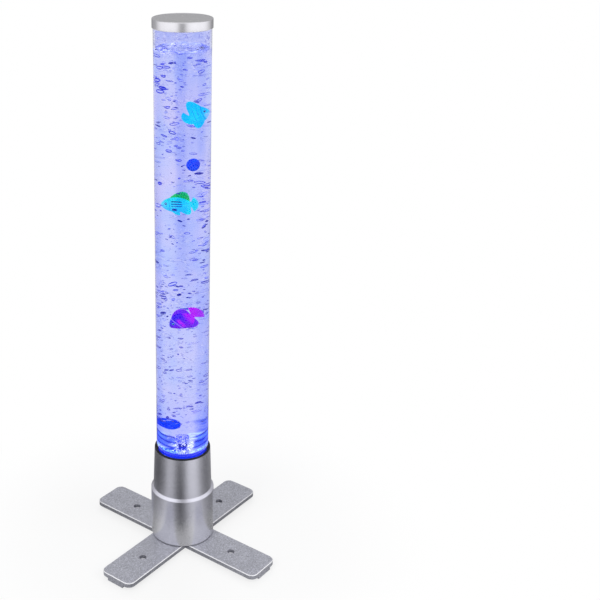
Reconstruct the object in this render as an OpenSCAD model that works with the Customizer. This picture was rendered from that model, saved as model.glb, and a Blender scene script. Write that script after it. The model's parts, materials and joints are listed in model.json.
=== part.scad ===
// Bubble tube floor lamp: a clear water column on a silver base with four flat legs.
// Millimetres. The floor is z = 0 and the tube's axis is the Z axis. +Y is the rear.

/* [Tube] */
// Outside diameter of the clear tube
tube_od = 100; // [98:1:102]
// Wall of the clear tube
tube_wall = 3; // [2:0.5:4]
// Length of the clear tube, from the deck of the base to the ring under the cap
tube_len = 902; // [750:1:1100]
// Height of the tube's floor plate above the deck
floor_up = 85; // [80:1:110]
// Thickness of the floor plate
floor_t = 10; // [6:0.5:14]
// Gap between the floor plate's edge and the tube, filled by the cement
cement_gap = 0.05; // [0.02:0.01:0.1]
// Air space between the top of the water and the top of the tube
air_space = 44; // [30:1:70]

/* [Cap] */
// Thickness of the cap's flat top
cap_top_t = 3; // [2:0.5:6]
// Thickness of the cap's skirt
cap_wall = 1.7; // [1.2:0.1:3]
// How far the skirt reaches down over the tube
cap_overlap = 10.5; // [6:0.5:20]
// Radial gap between the skirt and the tube
cap_fit = 0.3; // [0.2:0.05:0.6]
// Bevel on the cap's upper and lower edges
cap_edge = 0.8; // [0.3:0.1:1.2]
// Thickness of the soft ring between the cap and the tube
cap_ring_t = 3; // [2:0.5:5]
// Number of vent notches in the soft ring
cap_vents = 4; // [2:1:8]

/* [Collar] */
// Height of the tapered collar
collar_h = 84; // [70:1:100]
// Thickness of the collar's foot ring
collar_foot_w = 6.6; // [6:0.1:8]
// Width of the collar's top rim
collar_rim_w = 3.8; // [3:0.1:5]
// Wall of the collar
collar_wall = 2.4; // [1.5:0.1:3]
// Radial gap between the collar and the tube
collar_fit = 0.4; // [0.3:0.05:0.8]
// Number of ribs inside the collar
collar_ribs = 12; // [6:1:24]
// Height of the soft ring on the collar's rim
rim_ring_h = 2; // [1:0.5:4]

/* [Housing] */
// Outside diameter of the base housing
housing_od = 123; // [121:1:140]
// Wall of the base housing
housing_wall = 3; // [2:0.5:3.5]
// Height of the housing's deck above the legs
housing_h = 106; // [102:1:130]
// Height of the sloping shoulder
shoulder_h = 5; // [3:0.5:8]
// Thickness of the deck that carries the tube
deck_t = 4; // [3:0.5:6]
// Diameter of the hole in the deck
deck_hole_d = 54; // [50:1:58]
// Shadow gap between the housing's rim and the legs
rim_gap = 1.2; // [0.6:0.2:2]
// Thickness of the base plate under the housing
plate_t = 4; // [4:0.5:6]
// Gap between the base plate's edge and the housing
plate_fit = 0.3; // [0.1:0.05:0.5]
// Distance of the screw posts' axes in from the housing's wall
post_in = 4.5; // [4:0.1:5]
// Diameter of the screw posts
post_d = 10.5; // [10:0.5:11]

/* [Legs] */
// Tip to tip length of a leg bar
leg_span = 402; // [340:2:480]
// Width of a leg bar
leg_w = 74; // [64:1:84]
// Thickness of a leg bar
leg_t = 9; // [8:0.5:12]
// Radius of the leg's corners
leg_corner_r = 14; // [8:1:20]
// Bevel along the leg's upper edges
leg_edge = 1.2; // [0.6:0.1:2]
// Thickness of the leg's walls and top
leg_wall = 3; // [2:0.5:3.5]
// Gap all round the crossing halves of the bars
lap_fit = 0.1; // [0.05:0.05:0.3]
// Spacing of the cross ribs under a leg
rib_pitch = 26; // [18:1:40]
// Diameter of the circle of the four bolts that hold the legs
leg_bolt_circle_d = 60; // [54:1:64]

/* [Feet] */
// Width of a foot
foot_w = 37; // [30:1:44]
// Length of a foot, inwards from the leg's tip
foot_len = 96; // [94:1:110]
// Height of a foot
foot_h = 5.5; // [5:0.5:8]
// Distance of the foot's screw from the leg's tip
foot_screw_in = 80; // [60:1:82]
// Diameter of the well that the foot's screw sits in
well_d = 14; // [12.5:0.5:16]
// Depth of that well
well_depth = 7; // [5:0.5:7.5]
// Thickness of the rubber pad under a foot
pad_t = 2.5; // [2:0.5:3]
// Depth of the recess that holds the pad
pad_recess = 1; // [0.5:0.5:1.5]

/* [Light] */
// Gap between the light board and the tube's floor plate
led_gap = 18; // [16:1:24]
// Thickness of the circuit boards
board_t = 1.6; // [1:0.2:2]
// Diameter of the light board
led_board_d = 84; // [80:1:86]
// Number of light diodes
led_count = 12; // [6:1:18]
// Diameter of the ring of light diodes
led_circle_d = 64; // [62:1:66]
// Width of a light diode
led_w = 5; // [3:0.5:5]

/* [Air line] */
// Outside diameter of the air hose
hose_od = 6; // [5:0.5:7]
// Bore of the air hose
hose_id = 4; // [3.5:0.5:4]
// Bend radius of the air hose
hose_bend_r = 18; // [16:1:20]
// Length of the hose barbs
barb_l = 10; // [8:0.5:11]
// Radial gap between a barb and the hose
barb_fit = 0.05; // [0.03:0.01:0.1]
// Diameter of the check valve
valve_d = 16; // [14:1:20]
// Length of the check valve's body
valve_l = 24; // [20:1:26]
// Height of the check valve above the deck
valve_up = 4; // [2:1:6]
// Diameter of the air nozzle's post
nozzle_d = 11; // [9:0.5:13]
// Height of the air nozzle's post above the floor plate
nozzle_h = 8; // [5:0.5:12]
// Diameter of the air stone
stone_d = 18; // [14:1:22]
// Height of the air stone
stone_h = 14; // [10:1:20]

/* [Pump] */
// Length of the pump case
pump_l = 66; // [66:1:70]
// Width of the pump case
pump_w = 46; // [46:1:50]
// Height of the pump case with its lid
pump_h = 44; // [44:1:46]
// Wall of the pump case
pump_wall = 2.5; // [2:0.5:2.5]
// Height of the rubber mounts under the pump
mount_h = 6; // [6:0.5:8]
// Distance of the air outlet from the tube's axis
outlet_x = 18; // [17:0.5:19]
// Gap between the armature's magnet and the core
magnet_gap = 1.5; // [1.2:0.1:1.6]
// Radial gap in the armature's pivot
pivot_fit = 0.05; // [0.03:0.01:0.1]

/* [Controls] */
// Distance of the button and of the power inlet from the middle of the rear
control_x = 12; // [11:0.5:14]
// Height of the button and of the power inlet above the legs
control_up = 28; // [26:1:34]
// Diameter of the button
button_d = 11.8; // [10:0.2:12]
// Radial gap between the button and its guide
button_fit = 0.2; // [0.1:0.05:0.3]
// How far the button stands out
button_out = 2.2; // [2:0.1:3]
// Diameter of the power inlet's bore
inlet_bore_d = 6.4; // [5.5:0.1:6.5]

/* [Floats] */
// Diameter of the floating balls
ball_d = 22.5; // [16:0.5:23]
// Length of the cyan fish's body
cyan_fish_l = 27; // [24:1:30]
// Length of the striped fish's body
striped_fish_l = 42; // [36:1:43]
// Length of the purple fish's body
purple_fish_l = 39; // [32:1:40]
// Thickness of the fishes' fins
fin_t = 1.2; // [0.8:0.1:1.6]
// Place of the cyan fish, as a share of the way up the water
cyan_fish_at = 0.850; // [0.83:0.002:0.86]
// Place of the upper ball, as a share of the way up the water
upper_ball_at = 0.744; // [0.73:0.002:0.75]
// Place of the striped fish, as a share of the way up the water
striped_fish_at = 0.640; // [0.62:0.002:0.65]
// Place of the purple fish, as a share of the way up the water
purple_fish_at = 0.344; // [0.3:0.002:0.4]
// Height of the lower ball's centre above the floor plate
lower_ball_up = 33; // [18:1:60]

/* [Hidden] */

$fn = 96;
eps = 0.01;

// Heights of the main levels
z_foot = pad_t - pad_recess;
z_leg = z_foot + foot_h;
z_leg_top = z_leg + leg_t;
z_plate_top = z_leg_top + plate_t;
z_rim = z_leg_top + rim_gap;
z_deck = z_leg_top + housing_h;
z_floor = z_deck + floor_up;
z_floor_top = z_floor + floor_t;
z_collar_top = z_deck + collar_h;
z_tube_top = z_deck + tube_len;
z_cap = z_tube_top + cap_ring_t;
z_board = z_floor - led_gap - board_t;
z_pump = z_plate_top + mount_h;
z_pump_top = z_pump + pump_h;
z_valve = z_deck + valve_up;
z_control = z_leg_top + control_up;
water_h = z_tube_top - air_space - z_floor_top;

// Radii that several pieces share
tube_r = tube_od / 2;
tube_bore_r = tube_r - tube_wall;
collar_bore_r = tube_r + collar_fit;
collar_foot_r = collar_bore_r + collar_foot_w;
collar_rim_r = collar_bore_r + collar_rim_w;
housing_r = housing_od / 2;
housing_bore_r = housing_r - housing_wall;
post_circle_r = housing_bore_r - post_in;
tower_r = deck_hole_d / 2 + 2.5;
tower_flange_r = tube_bore_r - 3;
barb_r = hose_id / 2 - barb_fit;
air_bore_r = 1;

// Screws: shank radius, head radius and head height of each size
small_screw = [1.25, 2.5, 1.8];
screw = [1.5, 3, 2];
leg_bolt = [2, 4.2, 2.8];
foot_screw = [2, 5.75, 2.4];
screw_fit = 0.05;
clear_fit = 0.25;

post_hole_l = 14;
collar_screw_r = collar_bore_r + collar_foot_w / 2;
collar_foot_h = 9;
tower_screw_r = 37;
tower_flange_t = 3;
board_screw_r = 39;
leg_tip = leg_span / 2;
foot_screw_r = leg_tip - foot_screw_in;

// ---------------------------------------------------------------- shared shapes

// A pan-head screw along Z: the head stands on z = 0 and the shank goes down
module pan_screw(size, length) {
    difference() {
        union() {
            rotate_extrude()
                polygon([[0, 0], [size[1], 0], [size[1], size[2] * 0.45],
                         [size[1] * 0.72, size[2]], [0, size[2]]]);
            translate([0, 0, -length]) cylinder(r = size[0], h = length + eps);
        }
        for (turn = [0, 90])
            rotate(turn)
                translate([-size[1] * 0.62, -size[1] * 0.1, size[2] * 0.35])
                    cube([size[1] * 1.24, size[1] * 0.2, size[2]]);
    }
}

// Children at equal angles on a circle
module around(count, radius, first = 0) {
    for (i = [0 : count - 1])
        rotate(first + i * 360 / count) translate([radius, 0, 0]) children();
}

// A tube along a route of points, as rings joined by triangles
function unit(v) = v / norm(v);
function along(p, i) =
    unit(p[min(i + 1, len(p) - 1)] - p[max(i - 1, 0)]);
function ring(centre, dir, r, sides) =
    let (side = unit(cross(dir, [0.37, 0.91, 0.18])), up = cross(side, dir))
    [for (k = [0 : sides - 1])
        centre + r * (cos(360 * k / sides) * side + sin(360 * k / sides) * up)];
module wire(route, r, sides = 8) {
    last = len(route) - 1;
    points = [for (i = [0 : last]) each ring(route[i], along(route, i), r, sides)];
    walls = [for (i = [0 : last - 1], k = [0 : sides - 1])
        let (a = i * sides + k, b = i * sides + (k + 1) % sides)
        each [[a, b, a + sides], [b, b + sides, a + sides]]];
    polyhedron(points, concat(walls,
        [[for (k = [sides - 1 : -1 : 0]) k]],
        [[for (k = [0 : sides - 1]) last * sides + k]]));
}

// ---------------------------------------------------------------- cap and tube

module top_cap() {
    skirt_r = tube_r + cap_fit;
    rim_r = skirt_r + cap_wall;
    foot_z = z_tube_top - cap_overlap;
    top_z = z_cap + cap_top_t;
    lip_t = 2;
    lip_gap = 0.6;
    lip_h = 5;
    color("silver") rotate_extrude($fn = 180)
        polygon([[0, top_z - 0.4], [rim_r - 2.4, top_z - 0.4], [rim_r - 2, top_z],
                 [rim_r - cap_edge, top_z], [rim_r, top_z - cap_edge],
                 [rim_r, foot_z + cap_edge], [rim_r - cap_edge, foot_z], [skirt_r, foot_z],
                 [skirt_r, z_cap], [tube_bore_r - lip_gap, z_cap],
                 [tube_bore_r - lip_gap, z_tube_top - lip_h],
                 [tube_bore_r - lip_gap - lip_t, z_tube_top - lip_h],
                 [tube_bore_r - lip_gap - lip_t, z_cap], [0, z_cap]]);
}

module cap_ring() {
    notch_w = 5;
    color("gainsboro") difference() {
        translate([0, 0, z_tube_top]) cylinder(r = tube_r, h = cap_ring_t);
        translate([0, 0, z_tube_top - 1]) cylinder(r = tube_bore_r - 0.3, h = cap_ring_t + 2);
        around(cap_vents, tube_bore_r - 2, 45)
            translate([0, -notch_w / 2, z_tube_top + cap_ring_t / 2])
                cube([tube_wall + 4, notch_w, cap_ring_t]);
    }
}

module acrylic_tube() {
    color("lightblue", 0.35) rotate_extrude($fn = 180)
        polygon([[tube_bore_r, z_deck], [tube_r, z_deck],
                 [tube_r, z_tube_top], [tube_bore_r, z_tube_top]]);
}

module tube_floor() {
    floor_edge = 1;
    bore_r = nozzle_d / 4 + clear_fit;
    color("lightcyan", 0.5) rotate_extrude($fn = 180)
        polygon([[bore_r, z_floor], [tube_bore_r - cement_gap, z_floor],
                 [tube_bore_r - cement_gap, z_floor_top - floor_edge],
                 [tube_bore_r - cement_gap - floor_edge, z_floor_top],
                 [bore_r, z_floor_top]]);
}

// ---------------------------------------------------------------- air line

module air_stone() {
    edge = 2;
    base_z = z_floor_top + nozzle_h;
    color("white") rotate_extrude()
        polygon([[0, base_z], [stone_d / 2 - edge / 2, base_z], [stone_d / 2, base_z + edge],
                 [stone_d / 2, base_z + stone_h - edge],
                 [stone_d / 2 - edge, base_z + stone_h], [0, base_z + stone_h]]);
}

// Post in the water, threaded stem through the floor plate, and barb below the nut
module air_nozzle() {
    stem_r = nozzle_d / 4;
    washer_t = 1;
    stem_l = 8;
    color("midnightblue") difference() {
        rotate_extrude()
            polygon([[air_bore_r, z_floor_top + nozzle_h], [nozzle_d / 2, z_floor_top + nozzle_h],
                     [nozzle_d / 2, z_floor_top + washer_t], [stem_r, z_floor_top + washer_t],
                     [stem_r, z_floor - stem_l], [barb_r, z_floor - stem_l],
                     [barb_r, z_floor - stem_l - barb_l],
                     [air_bore_r, z_floor - stem_l - barb_l]]);
        around(4, nozzle_d / 2, 45)
            translate([0, 0, z_floor_top + washer_t + 1]) cylinder(r = 0.7, h = nozzle_h);
    }
}

module nozzle_washer() {
    washer_t = 1;
    color("dimgray") difference() {
        translate([0, 0, z_floor_top]) cylinder(r = nozzle_d / 2 + 1.5, h = washer_t);
        translate([0, 0, z_floor_top - 1]) cylinder(r = nozzle_d / 4 + screw_fit, h = washer_t + 2);
    }
}

module nozzle_nut() {
    nut_h = 4;
    color("gainsboro") difference() {
        translate([0, 0, z_floor - nut_h]) cylinder(r = 6.5, h = nut_h, $fn = 6);
        translate([0, 0, z_floor - nut_h - 1]) cylinder(r = nozzle_d / 4 + screw_fit, h = nut_h + 2);
    }
}

// The check valve's lower half, with the barb that takes the hose from the pump
module check_valve_body() {
    half = valve_l * 0.55;
    seat_h = 4;
    color("white") rotate_extrude()
        polygon([[air_bore_r, z_valve - barb_l], [barb_r, z_valve - barb_l], [barb_r, z_valve],
                 [valve_d / 2 - 2, z_valve], [valve_d / 2, z_valve + 3],
                 [valve_d / 2, z_valve + half], [valve_d / 2 - 1.8, z_valve + half],
                 [valve_d / 2 - 1.8, z_valve + seat_h], [air_bore_r, z_valve + seat_h]]);
}

module check_valve_flap() {
    seat_h = 4;
    flap_t = 0.8;
    color("orangered") translate([0, 0, z_valve + seat_h])
        cylinder(r = valve_d / 2 - 2.2, h = flap_t);
}

module check_valve_cap() {
    half = valve_l * 0.55;
    roof_t = 3;
    top_z = z_valve + valve_l;
    color("lightsteelblue") rotate_extrude()
        polygon([[valve_d / 2 - 1.8, z_valve + half], [valve_d / 2, z_valve + half],
                 [valve_d / 2, top_z - 3], [valve_d / 2 - 2, top_z], [barb_r, top_z],
                 [barb_r, top_z + barb_l], [air_bore_r, top_z + barb_l],
                 [air_bore_r, top_z - roof_t], [valve_d / 2 - 1.8, top_z - roof_t]]);
}

module hose_straight(length) {
    difference() {
        cylinder(r = hose_od / 2, h = length);
        translate([0, 0, -1]) cylinder(r = hose_id / 2, h = length + 2);
    }
}

module upper_hose() {
    from_z = z_valve + valve_l;
    to_z = z_floor - 8;
    color("lightcyan", 0.6) translate([0, 0, from_z]) hose_straight(to_z - from_z);
}

// From the pump's outlet the hose bends inwards and back up to the tube's axis
module lower_hose() {
    turn = acos(1 - outlet_x / (2 * hose_bend_r));
    start_l = barb_l + 2;
    bend_z = z_pump_top + start_l;
    bend_h = 2 * hose_bend_r * sin(turn);
    color("lightcyan", 0.6) {
        difference() {
            union() {
                translate([outlet_x, 0, z_pump_top]) cylinder(r = hose_od / 2, h = start_l);
                hose_bends(hose_od / 2, turn, bend_z);
                translate([0, 0, bend_z + bend_h])
                    cylinder(r = hose_od / 2, h = z_valve - bend_z - bend_h);
            }
            translate([outlet_x, 0, z_pump_top - 1]) cylinder(r = hose_id / 2, h = start_l + 1);
            hose_bends(hose_id / 2, turn, bend_z);
            translate([0, 0, bend_z + bend_h])
                cylinder(r = hose_id / 2, h = z_valve - bend_z - bend_h + 1);
        }
    }
}

module hose_bends(r, turn, bend_z) {
    bend_h = 2 * hose_bend_r * sin(turn);
    meet = 0.3;
    translate([outlet_x - hose_bend_r, 0, bend_z]) rotate([90, 0, 0])
        rotate_extrude(angle = turn + meet) translate([hose_bend_r, 0]) circle(r = r, $fn = 32);
    translate([hose_bend_r, 0, bend_z + bend_h]) rotate([90, 0, 0]) rotate(180)
        rotate_extrude(angle = turn + meet) translate([hose_bend_r, 0]) circle(r = r, $fn = 32);
}

// ---------------------------------------------------------------- floats

// A hump that is 0 at both ends and 1 at its peak; a low fullness makes it blunt
function bell(t, peak, fullness) =
    t <= 0 || t >= 1 ? 0 : pow(sin(180 * pow(t, ln(0.5) / ln(peak))), fullness);

// Outline of a fish's body at the share t of its length, from the nose at -X
function back_z(t, rise, peak, root) = rise * bell(t, peak, 0.72) + root * t * t + 1.2 * (1 - t);
function belly_z(t, drop, peak, root) =
    -drop * bell(t, peak + 0.04, 0.72) - root * t * t - 1 * (1 - t);
function flank_y(t, half_w) = half_w * bell(t, 0.34, 0.62) + 0.9;

module fish_body(l, rise, drop, half_w, peak, root) {
    rings = 14;
    sides = 16;
    points = [for (i = [0 : rings], k = [0 : sides - 1])
        let (t = i / rings, a = 360 * k / sides,
             up = back_z(t, rise, peak, root), down = belly_z(t, drop, peak, root))
        [(t - 0.5) * l, -flank_y(t, half_w) * cos(a),
         (up + down) / 2 + (up - down) / 2 * sin(a)]];
    walls = [for (i = [0 : rings - 1], k = [0 : sides - 1])
        let (a = i * sides + k, b = i * sides + (k + 1) % sides)
        each [[a, b, a + sides], [b, b + sides, a + sides]]];
    polyhedron(points, concat(walls,
        [[for (k = [sides - 1 : -1 : 0]) k]],
        [[for (k = [0 : sides - 1]) rings * sides + k]]));
}

// A fin that grows from the back (side = 1) or from the belly (side = -1)
module fish_fin(l, rise, drop, peak, root, side, from_t, to_t, height, lean) {
    steps = 10;
    base_in = 1.5;
    function edge_z(t) = side > 0 ? back_z(t, rise, peak, root) : belly_z(t, drop, peak, root);
    base = [for (i = [0 : steps]) let (t = from_t + (to_t - from_t) * i / steps)
        [(t - 0.5) * l, edge_z(t) - side * base_in]];
    tip = [for (i = [steps : -1 : 0]) let (s = i / steps, t = from_t + (to_t - from_t) * s)
        [(t - 0.5) * l + lean * bell(s, 0.7, 0.8), edge_z(t) + side * height * bell(s, 0.62, 0.7)]];
    rotate([90, 0, 0]) {
        linear_extrude(fin_t, center = true) polygon(concat(base, tip));
        linear_extrude(fin_t + 0.8, center = true)
            for (i = [2 : 2 : steps - 2])
                fin_ray(base[i], tip[steps - i], 0.5);
    }
}

// A thin tapering ray from one point of a fin's root to its edge
module fin_ray(root, end, half) {
    dir = (end - root) / norm(end - root);
    n = [-dir.y, dir.x];
    polygon([root + n * half, root - n * half, end - dir * 0.8 - n * half / 2,
             end - dir * 0.8 + n * half / 2]);
}

module fish_tail(l, reach, half_angle, notch, turn) {
    steps = 12;
    root_in = 2;
    root = [l / 2 - root_in, 0];
    edge = [for (i = [0 : steps]) let (a = -half_angle + 2 * half_angle * i / steps)
        root + (reach + root_in) * (1 - notch * cos(90 * a / half_angle)) * [cos(a), sin(a)]];
    rotate([90, 0, 0]) translate([root.x, 0]) rotate(turn) translate([-root.x, 0]) {
        linear_extrude(fin_t, center = true) polygon(concat([root], edge));
        linear_extrude(fin_t + 0.8, center = true)
            for (i = [1 : 2 : steps - 1])
                fin_ray(root + (edge[i] - root) * 0.35, edge[i], 0.5);
    }
}

module fish_eyes(l, rise, drop, half_w, peak, root, at, r) {
    z = (back_z(at, rise, peak, root) * 0.42);
    for (side = [-1, 1])
        translate([(at - 0.5) * l, side * flank_y(at, half_w) * 0.86, z])
            sphere(r = r, $fn = 24);
}

// A leaf-shaped fin low on each side, swept back and outwards
module fish_side_fins(l, half_w, reach) {
    for (side = [-1, 1])
        translate([-0.14 * l, side * flank_y(0.36, half_w) * 0.9, -1.5])
            rotate([0, 0, side * 24]) rotate([90, 12, 0])
                linear_extrude(fin_t * 0.8, center = true)
                    polygon([for (i = [0 : 12]) let (s = i / 12)
                        [reach * s, 0.34 * reach * bell(s, 0.6, 0.8)],
                        for (i = [11 : -1 : 1]) let (s = i / 12)
                        [reach * s, -0.26 * reach * bell(s, 0.6, 0.8)]]);
}

module mouth_cut(l) {
    translate([-l / 2 - 1, 0, 0]) rotate([90, 0, 0])
        linear_extrude(12, center = true) polygon([[0, -0.7], [3, 0], [0, 0.7]]);
}

// Tall disc-shaped fish that faces right
module cyan_fish_shape() {
    rise = 14.5;
    drop = 11.5;
    half_w = 6;
    peak = 0.5;
    root = 2.6;
    difference() {
        union() {
            fish_body(cyan_fish_l, rise, drop, half_w, peak, root);
            fish_eyes(cyan_fish_l, rise, drop, half_w, peak, root, 0.17, 2.1);
        }
        mouth_cut(cyan_fish_l);
    }
    fish_fin(cyan_fish_l, rise, drop, peak, root, 1, 0.3, 0.97, 13, 3);
    fish_fin(cyan_fish_l, rise, drop, peak, root, -1, 0.42, 0.97, 10.5, 3);
    fish_tail(cyan_fish_l, 10.5, 50, 0.1, -10);
    fish_side_fins(cyan_fish_l, half_w, 9);
}

// Long fish with a high back fin and forked tail
module striped_fish_shape() {
    rise = 13.5;
    drop = 11.5;
    half_w = 6.5;
    peak = 0.46;
    root = 4.2;
    difference() {
        union() {
            fish_body(striped_fish_l, rise, drop, half_w, peak, root);
            fish_eyes(striped_fish_l, rise, drop, half_w, peak, root, 0.16, 2.3);
        }
        mouth_cut(striped_fish_l);
    }
    fish_fin(striped_fish_l, rise, drop, peak, root, 1, 0.32, 0.96, 11.5, 4);
    fish_fin(striped_fish_l, rise, drop, peak, root, -1, 0.66, 0.97, 9, 3);
    fish_fin(striped_fish_l, rise, drop, peak, root, -1, 0.36, 0.6, 6, 3);
    fish_tail(striped_fish_l, 12.5, 45, 0.2, 0);
    fish_side_fins(striped_fish_l, half_w, 9);
}

// Round fish with a pointed snout and a tail like a fan
module purple_fish_shape() {
    rise = 15;
    drop = 13;
    half_w = 6.5;
    peak = 0.52;
    root = 4;
    difference() {
        union() {
            fish_body(purple_fish_l, rise, drop, half_w, peak, root);
            fish_eyes(purple_fish_l, rise, drop, half_w, peak, root, 0.22, 2.2);
        }
        mouth_cut(purple_fish_l);
    }
    fish_fin(purple_fish_l, rise, drop, peak, root, 1, 0.3, 0.98, 7.5, 5);
    fish_fin(purple_fish_l, rise, drop, peak, root, -1, 0.48, 0.98, 6.5, 4);
    fish_tail(purple_fish_l, 19, 30, 0.06, 38);
    fish_side_fins(purple_fish_l, half_w, 10);
}

module cyan_fish() {
    color("deepskyblue") translate([22.5, 4, z_floor_top + cyan_fish_at * water_h])
        rotate([0, 18, 172]) cyan_fish_shape();
}

module striped_fish() {
    color("turquoise") translate([-9.5, -4, z_floor_top + striped_fish_at * water_h])
        rotate([0, -4, -8]) striped_fish_shape();
}

module purple_fish() {
    color("darkviolet") translate([-1.6, -4, z_floor_top + purple_fish_at * water_h])
        rotate([0, -36, -10]) purple_fish_shape();
}

module upper_ball() {
    color("blue") translate([13.7, -31.5, z_floor_top + upper_ball_at * water_h])
        sphere(d = ball_d, $fn = 48);
}

module lower_ball() {
    color("blue") translate([-9.5, 32, z_floor_top + lower_ball_up]) sphere(d = ball_d, $fn = 48);
}

// ---------------------------------------------------------------- collar and housing

module tube_collar() {
    lip_h = 6;
    lip_z = z_collar_top - lip_h;
    foot_z = z_deck + collar_foot_h;
    function shell_r(z) =
        collar_foot_r + (collar_rim_r - collar_foot_r) * (z - z_deck) / collar_h - collar_wall;
    color("silver") difference() {
        union() {
            rotate_extrude($fn = 180)
                polygon([[collar_bore_r, z_deck], [collar_foot_r, z_deck],
                         [collar_rim_r, z_collar_top], [collar_bore_r, z_collar_top],
                         [collar_bore_r, lip_z], [shell_r(lip_z), lip_z],
                         [shell_r(foot_z), foot_z], [collar_bore_r, foot_z]]);
            around(collar_ribs, 0)
                rotate_extrude(angle = 2)
                    polygon([[collar_bore_r, foot_z - 1], [shell_r(foot_z) + 1, foot_z - 1],
                             [shell_r(lip_z) + 1, lip_z + 1], [collar_bore_r, lip_z + 1]]);
        }
        around(4, collar_screw_r, 0)
            translate([0, 0, z_deck - 1]) cylinder(r = screw[0] + screw_fit, h = collar_foot_h - 1);
    }
}

module rim_ring() {
    inset = 0.5;
    color("black") difference() {
        translate([0, 0, z_collar_top]) cylinder(r = collar_rim_r - inset, h = rim_ring_h, $fn = 180);
        translate([0, 0, z_collar_top - 1]) cylinder(r = tube_r + 0.05, h = rim_ring_h + 2, $fn = 180);
    }
}

module collar_screws() {
    shank_l = deck_t + 6;
    color("dimgray") around(4, collar_screw_r, 0)
        translate([0, 0, z_deck - deck_t]) mirror([0, 0, 1]) pan_screw(screw, shank_l);
}

module base_housing() {
    button_bore_r = button_d / 2 + button_fit;
    corner_r = collar_screw_r + screw[1] + 0.5;
    color("silver") difference() {
        union() {
            rotate_extrude($fn = 180)
                polygon([[housing_bore_r, z_rim], [housing_r - 0.8, z_rim], [housing_r, z_rim + 0.8],
                         [housing_r, z_deck - shoulder_h], [collar_foot_r, z_deck],
                         [deck_hole_d / 2, z_deck], [deck_hole_d / 2, z_deck - deck_t],
                         [corner_r, z_deck - deck_t],
                         [housing_bore_r, z_deck - deck_t - housing_bore_r + corner_r]]);
            around(4, post_circle_r, 45)
                translate([0, 0, z_plate_top])
                    cylinder(d = post_d, h = z_deck - deck_t - z_plate_top + 1, $fn = 48);
            for (side = [-1, 1])
                control_axis(side) guide_boss();
        }
        around(4, post_circle_r, 45)
            translate([0, 0, z_plate_top - 1])
                cylinder(r = screw[0] + screw_fit, h = post_hole_l + 1, $fn = 32);
        around(4, collar_screw_r, 0)
            translate([0, 0, z_deck - deck_t - 1]) cylinder(r = screw[0] + clear_fit, h = deck_t + 2);
        around(3, tower_screw_r, 30)
            translate([0, 0, z_deck - deck_t - 1]) cylinder(r = screw[0] + screw_fit, h = deck_t + 2);
        control_axis(-1) cylinder(r = button_bore_r, h = housing_r);
        control_axis(1) cylinder(r = inlet_front_r + clear_fit, h = housing_r);
    }
}

// Frame of a control: its own Z axis points out through the rear wall
module control_axis(side) {
    translate([side * control_x, 0, z_control]) rotate([-90, 0, 0]) children();
}
guide_r = 8;
guide_y = housing_bore_r - 4.3;
inlet_front_r = 5.4;

// Flat-ended boss that a control passes through, cut to the inside of the wall
module guide_boss() {
    translate([0, 0, guide_y]) cylinder(r = guide_r, h = wall_y(control_x) - guide_y, $fn = 48);
}
// Distance to the housing's wall, half way through it, at the distance x from the middle
function wall_y(x) = sqrt(pow(housing_r - housing_wall / 2, 2) - pow(x + guide_r, 2));

module base_plate() {
    recess = screw[2] + 0.2;
    boss_r = 5;
    boss_h = 4.5;
    holder_w = 8;
    holder_wall = 3;
    holder_h = 14;
    color("dimgray") difference() {
        union() {
            translate([0, 0, z_leg_top]) cylinder(r = housing_bore_r - plate_fit, h = plate_t, $fn = 180);
            around(4, leg_bolt_circle_d / 2, 0)
                translate([0, 0, z_plate_top - 1]) cylinder(r = boss_r, h = boss_h + 1, $fn = 48);
            for (side = [-1, 1])
                translate([side * board_hold_x - holder_w / 2, board_y - holder_wall, z_plate_top - 1])
                    cube([holder_w, board_t + 2 * holder_wall, holder_h + 1]);
        }
        around(4, post_circle_r, 45) {
            translate([0, 0, z_leg_top - 1]) cylinder(r = screw[1] + clear_fit, h = recess + 1);
            translate([0, 0, z_leg_top]) cylinder(r = screw[0] + clear_fit, h = plate_t + 1);
        }
        around(4, leg_bolt_circle_d / 2, 0)
            translate([0, 0, z_leg_top - 1]) cylinder(r = leg_bolt[0] + screw_fit, h = plate_t + boss_h + 2);
        translate([-control_board_w / 2 - 0.2, board_y - 0.1, z_control_board])
            cube([control_board_w + 0.4, board_t + 0.2, holder_h + 1]);
    }
}

module housing_screws() {
    recess = screw[2] + 0.2;
    shank_l = plate_t - recess + post_hole_l - 2;
    color("dimgray") around(4, post_circle_r, 45)
        translate([0, 0, z_leg_top + recess]) mirror([0, 0, 1]) pan_screw(screw, shank_l);
}

// ---------------------------------------------------------------- light

module light_tower() {
    hole_r = deck_hole_d / 2;
    top_t = 3;
    color("whitesmoke") difference() {
        rotate_extrude()
            polygon([[hole_r, z_deck], [tower_flange_r, z_deck],
                     [tower_flange_r, z_deck + tower_flange_t], [tower_r, z_deck + tower_flange_t],
                     [tower_r, z_board - top_t - 4], [led_board_d / 2 - 1, z_board - top_t],
                     [led_board_d / 2 + 0.5, z_board - top_t], [led_board_d / 2 + 0.5, z_board],
                     [hole_r, z_board]]);
        around(3, tower_screw_r, 30)
            translate([0, 0, z_deck - 1]) cylinder(r = screw[0] + clear_fit, h = tower_flange_t + 2);
        around(3, board_screw_r, 15)
            translate([0, 0, z_board - top_t - 1]) cylinder(r = small_screw[0] + screw_fit, h = top_t + 2);
    }
}

module tower_screws() {
    color("dimgray") around(3, tower_screw_r, 30)
        translate([0, 0, z_deck + tower_flange_t]) pan_screw(screw, tower_flange_t + deck_t - 0.5);
}

module light_board() {
    centre_hole_r = 14;
    color("white") difference() {
        translate([0, 0, z_board]) cylinder(d = led_board_d, h = board_t);
        translate([0, 0, z_board - 1]) cylinder(r = centre_hole_r, h = board_t + 2);
        around(3, board_screw_r, 15)
            translate([0, 0, z_board - 1]) cylinder(r = small_screw[0] + clear_fit, h = board_t + 2);
    }
}

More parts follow.
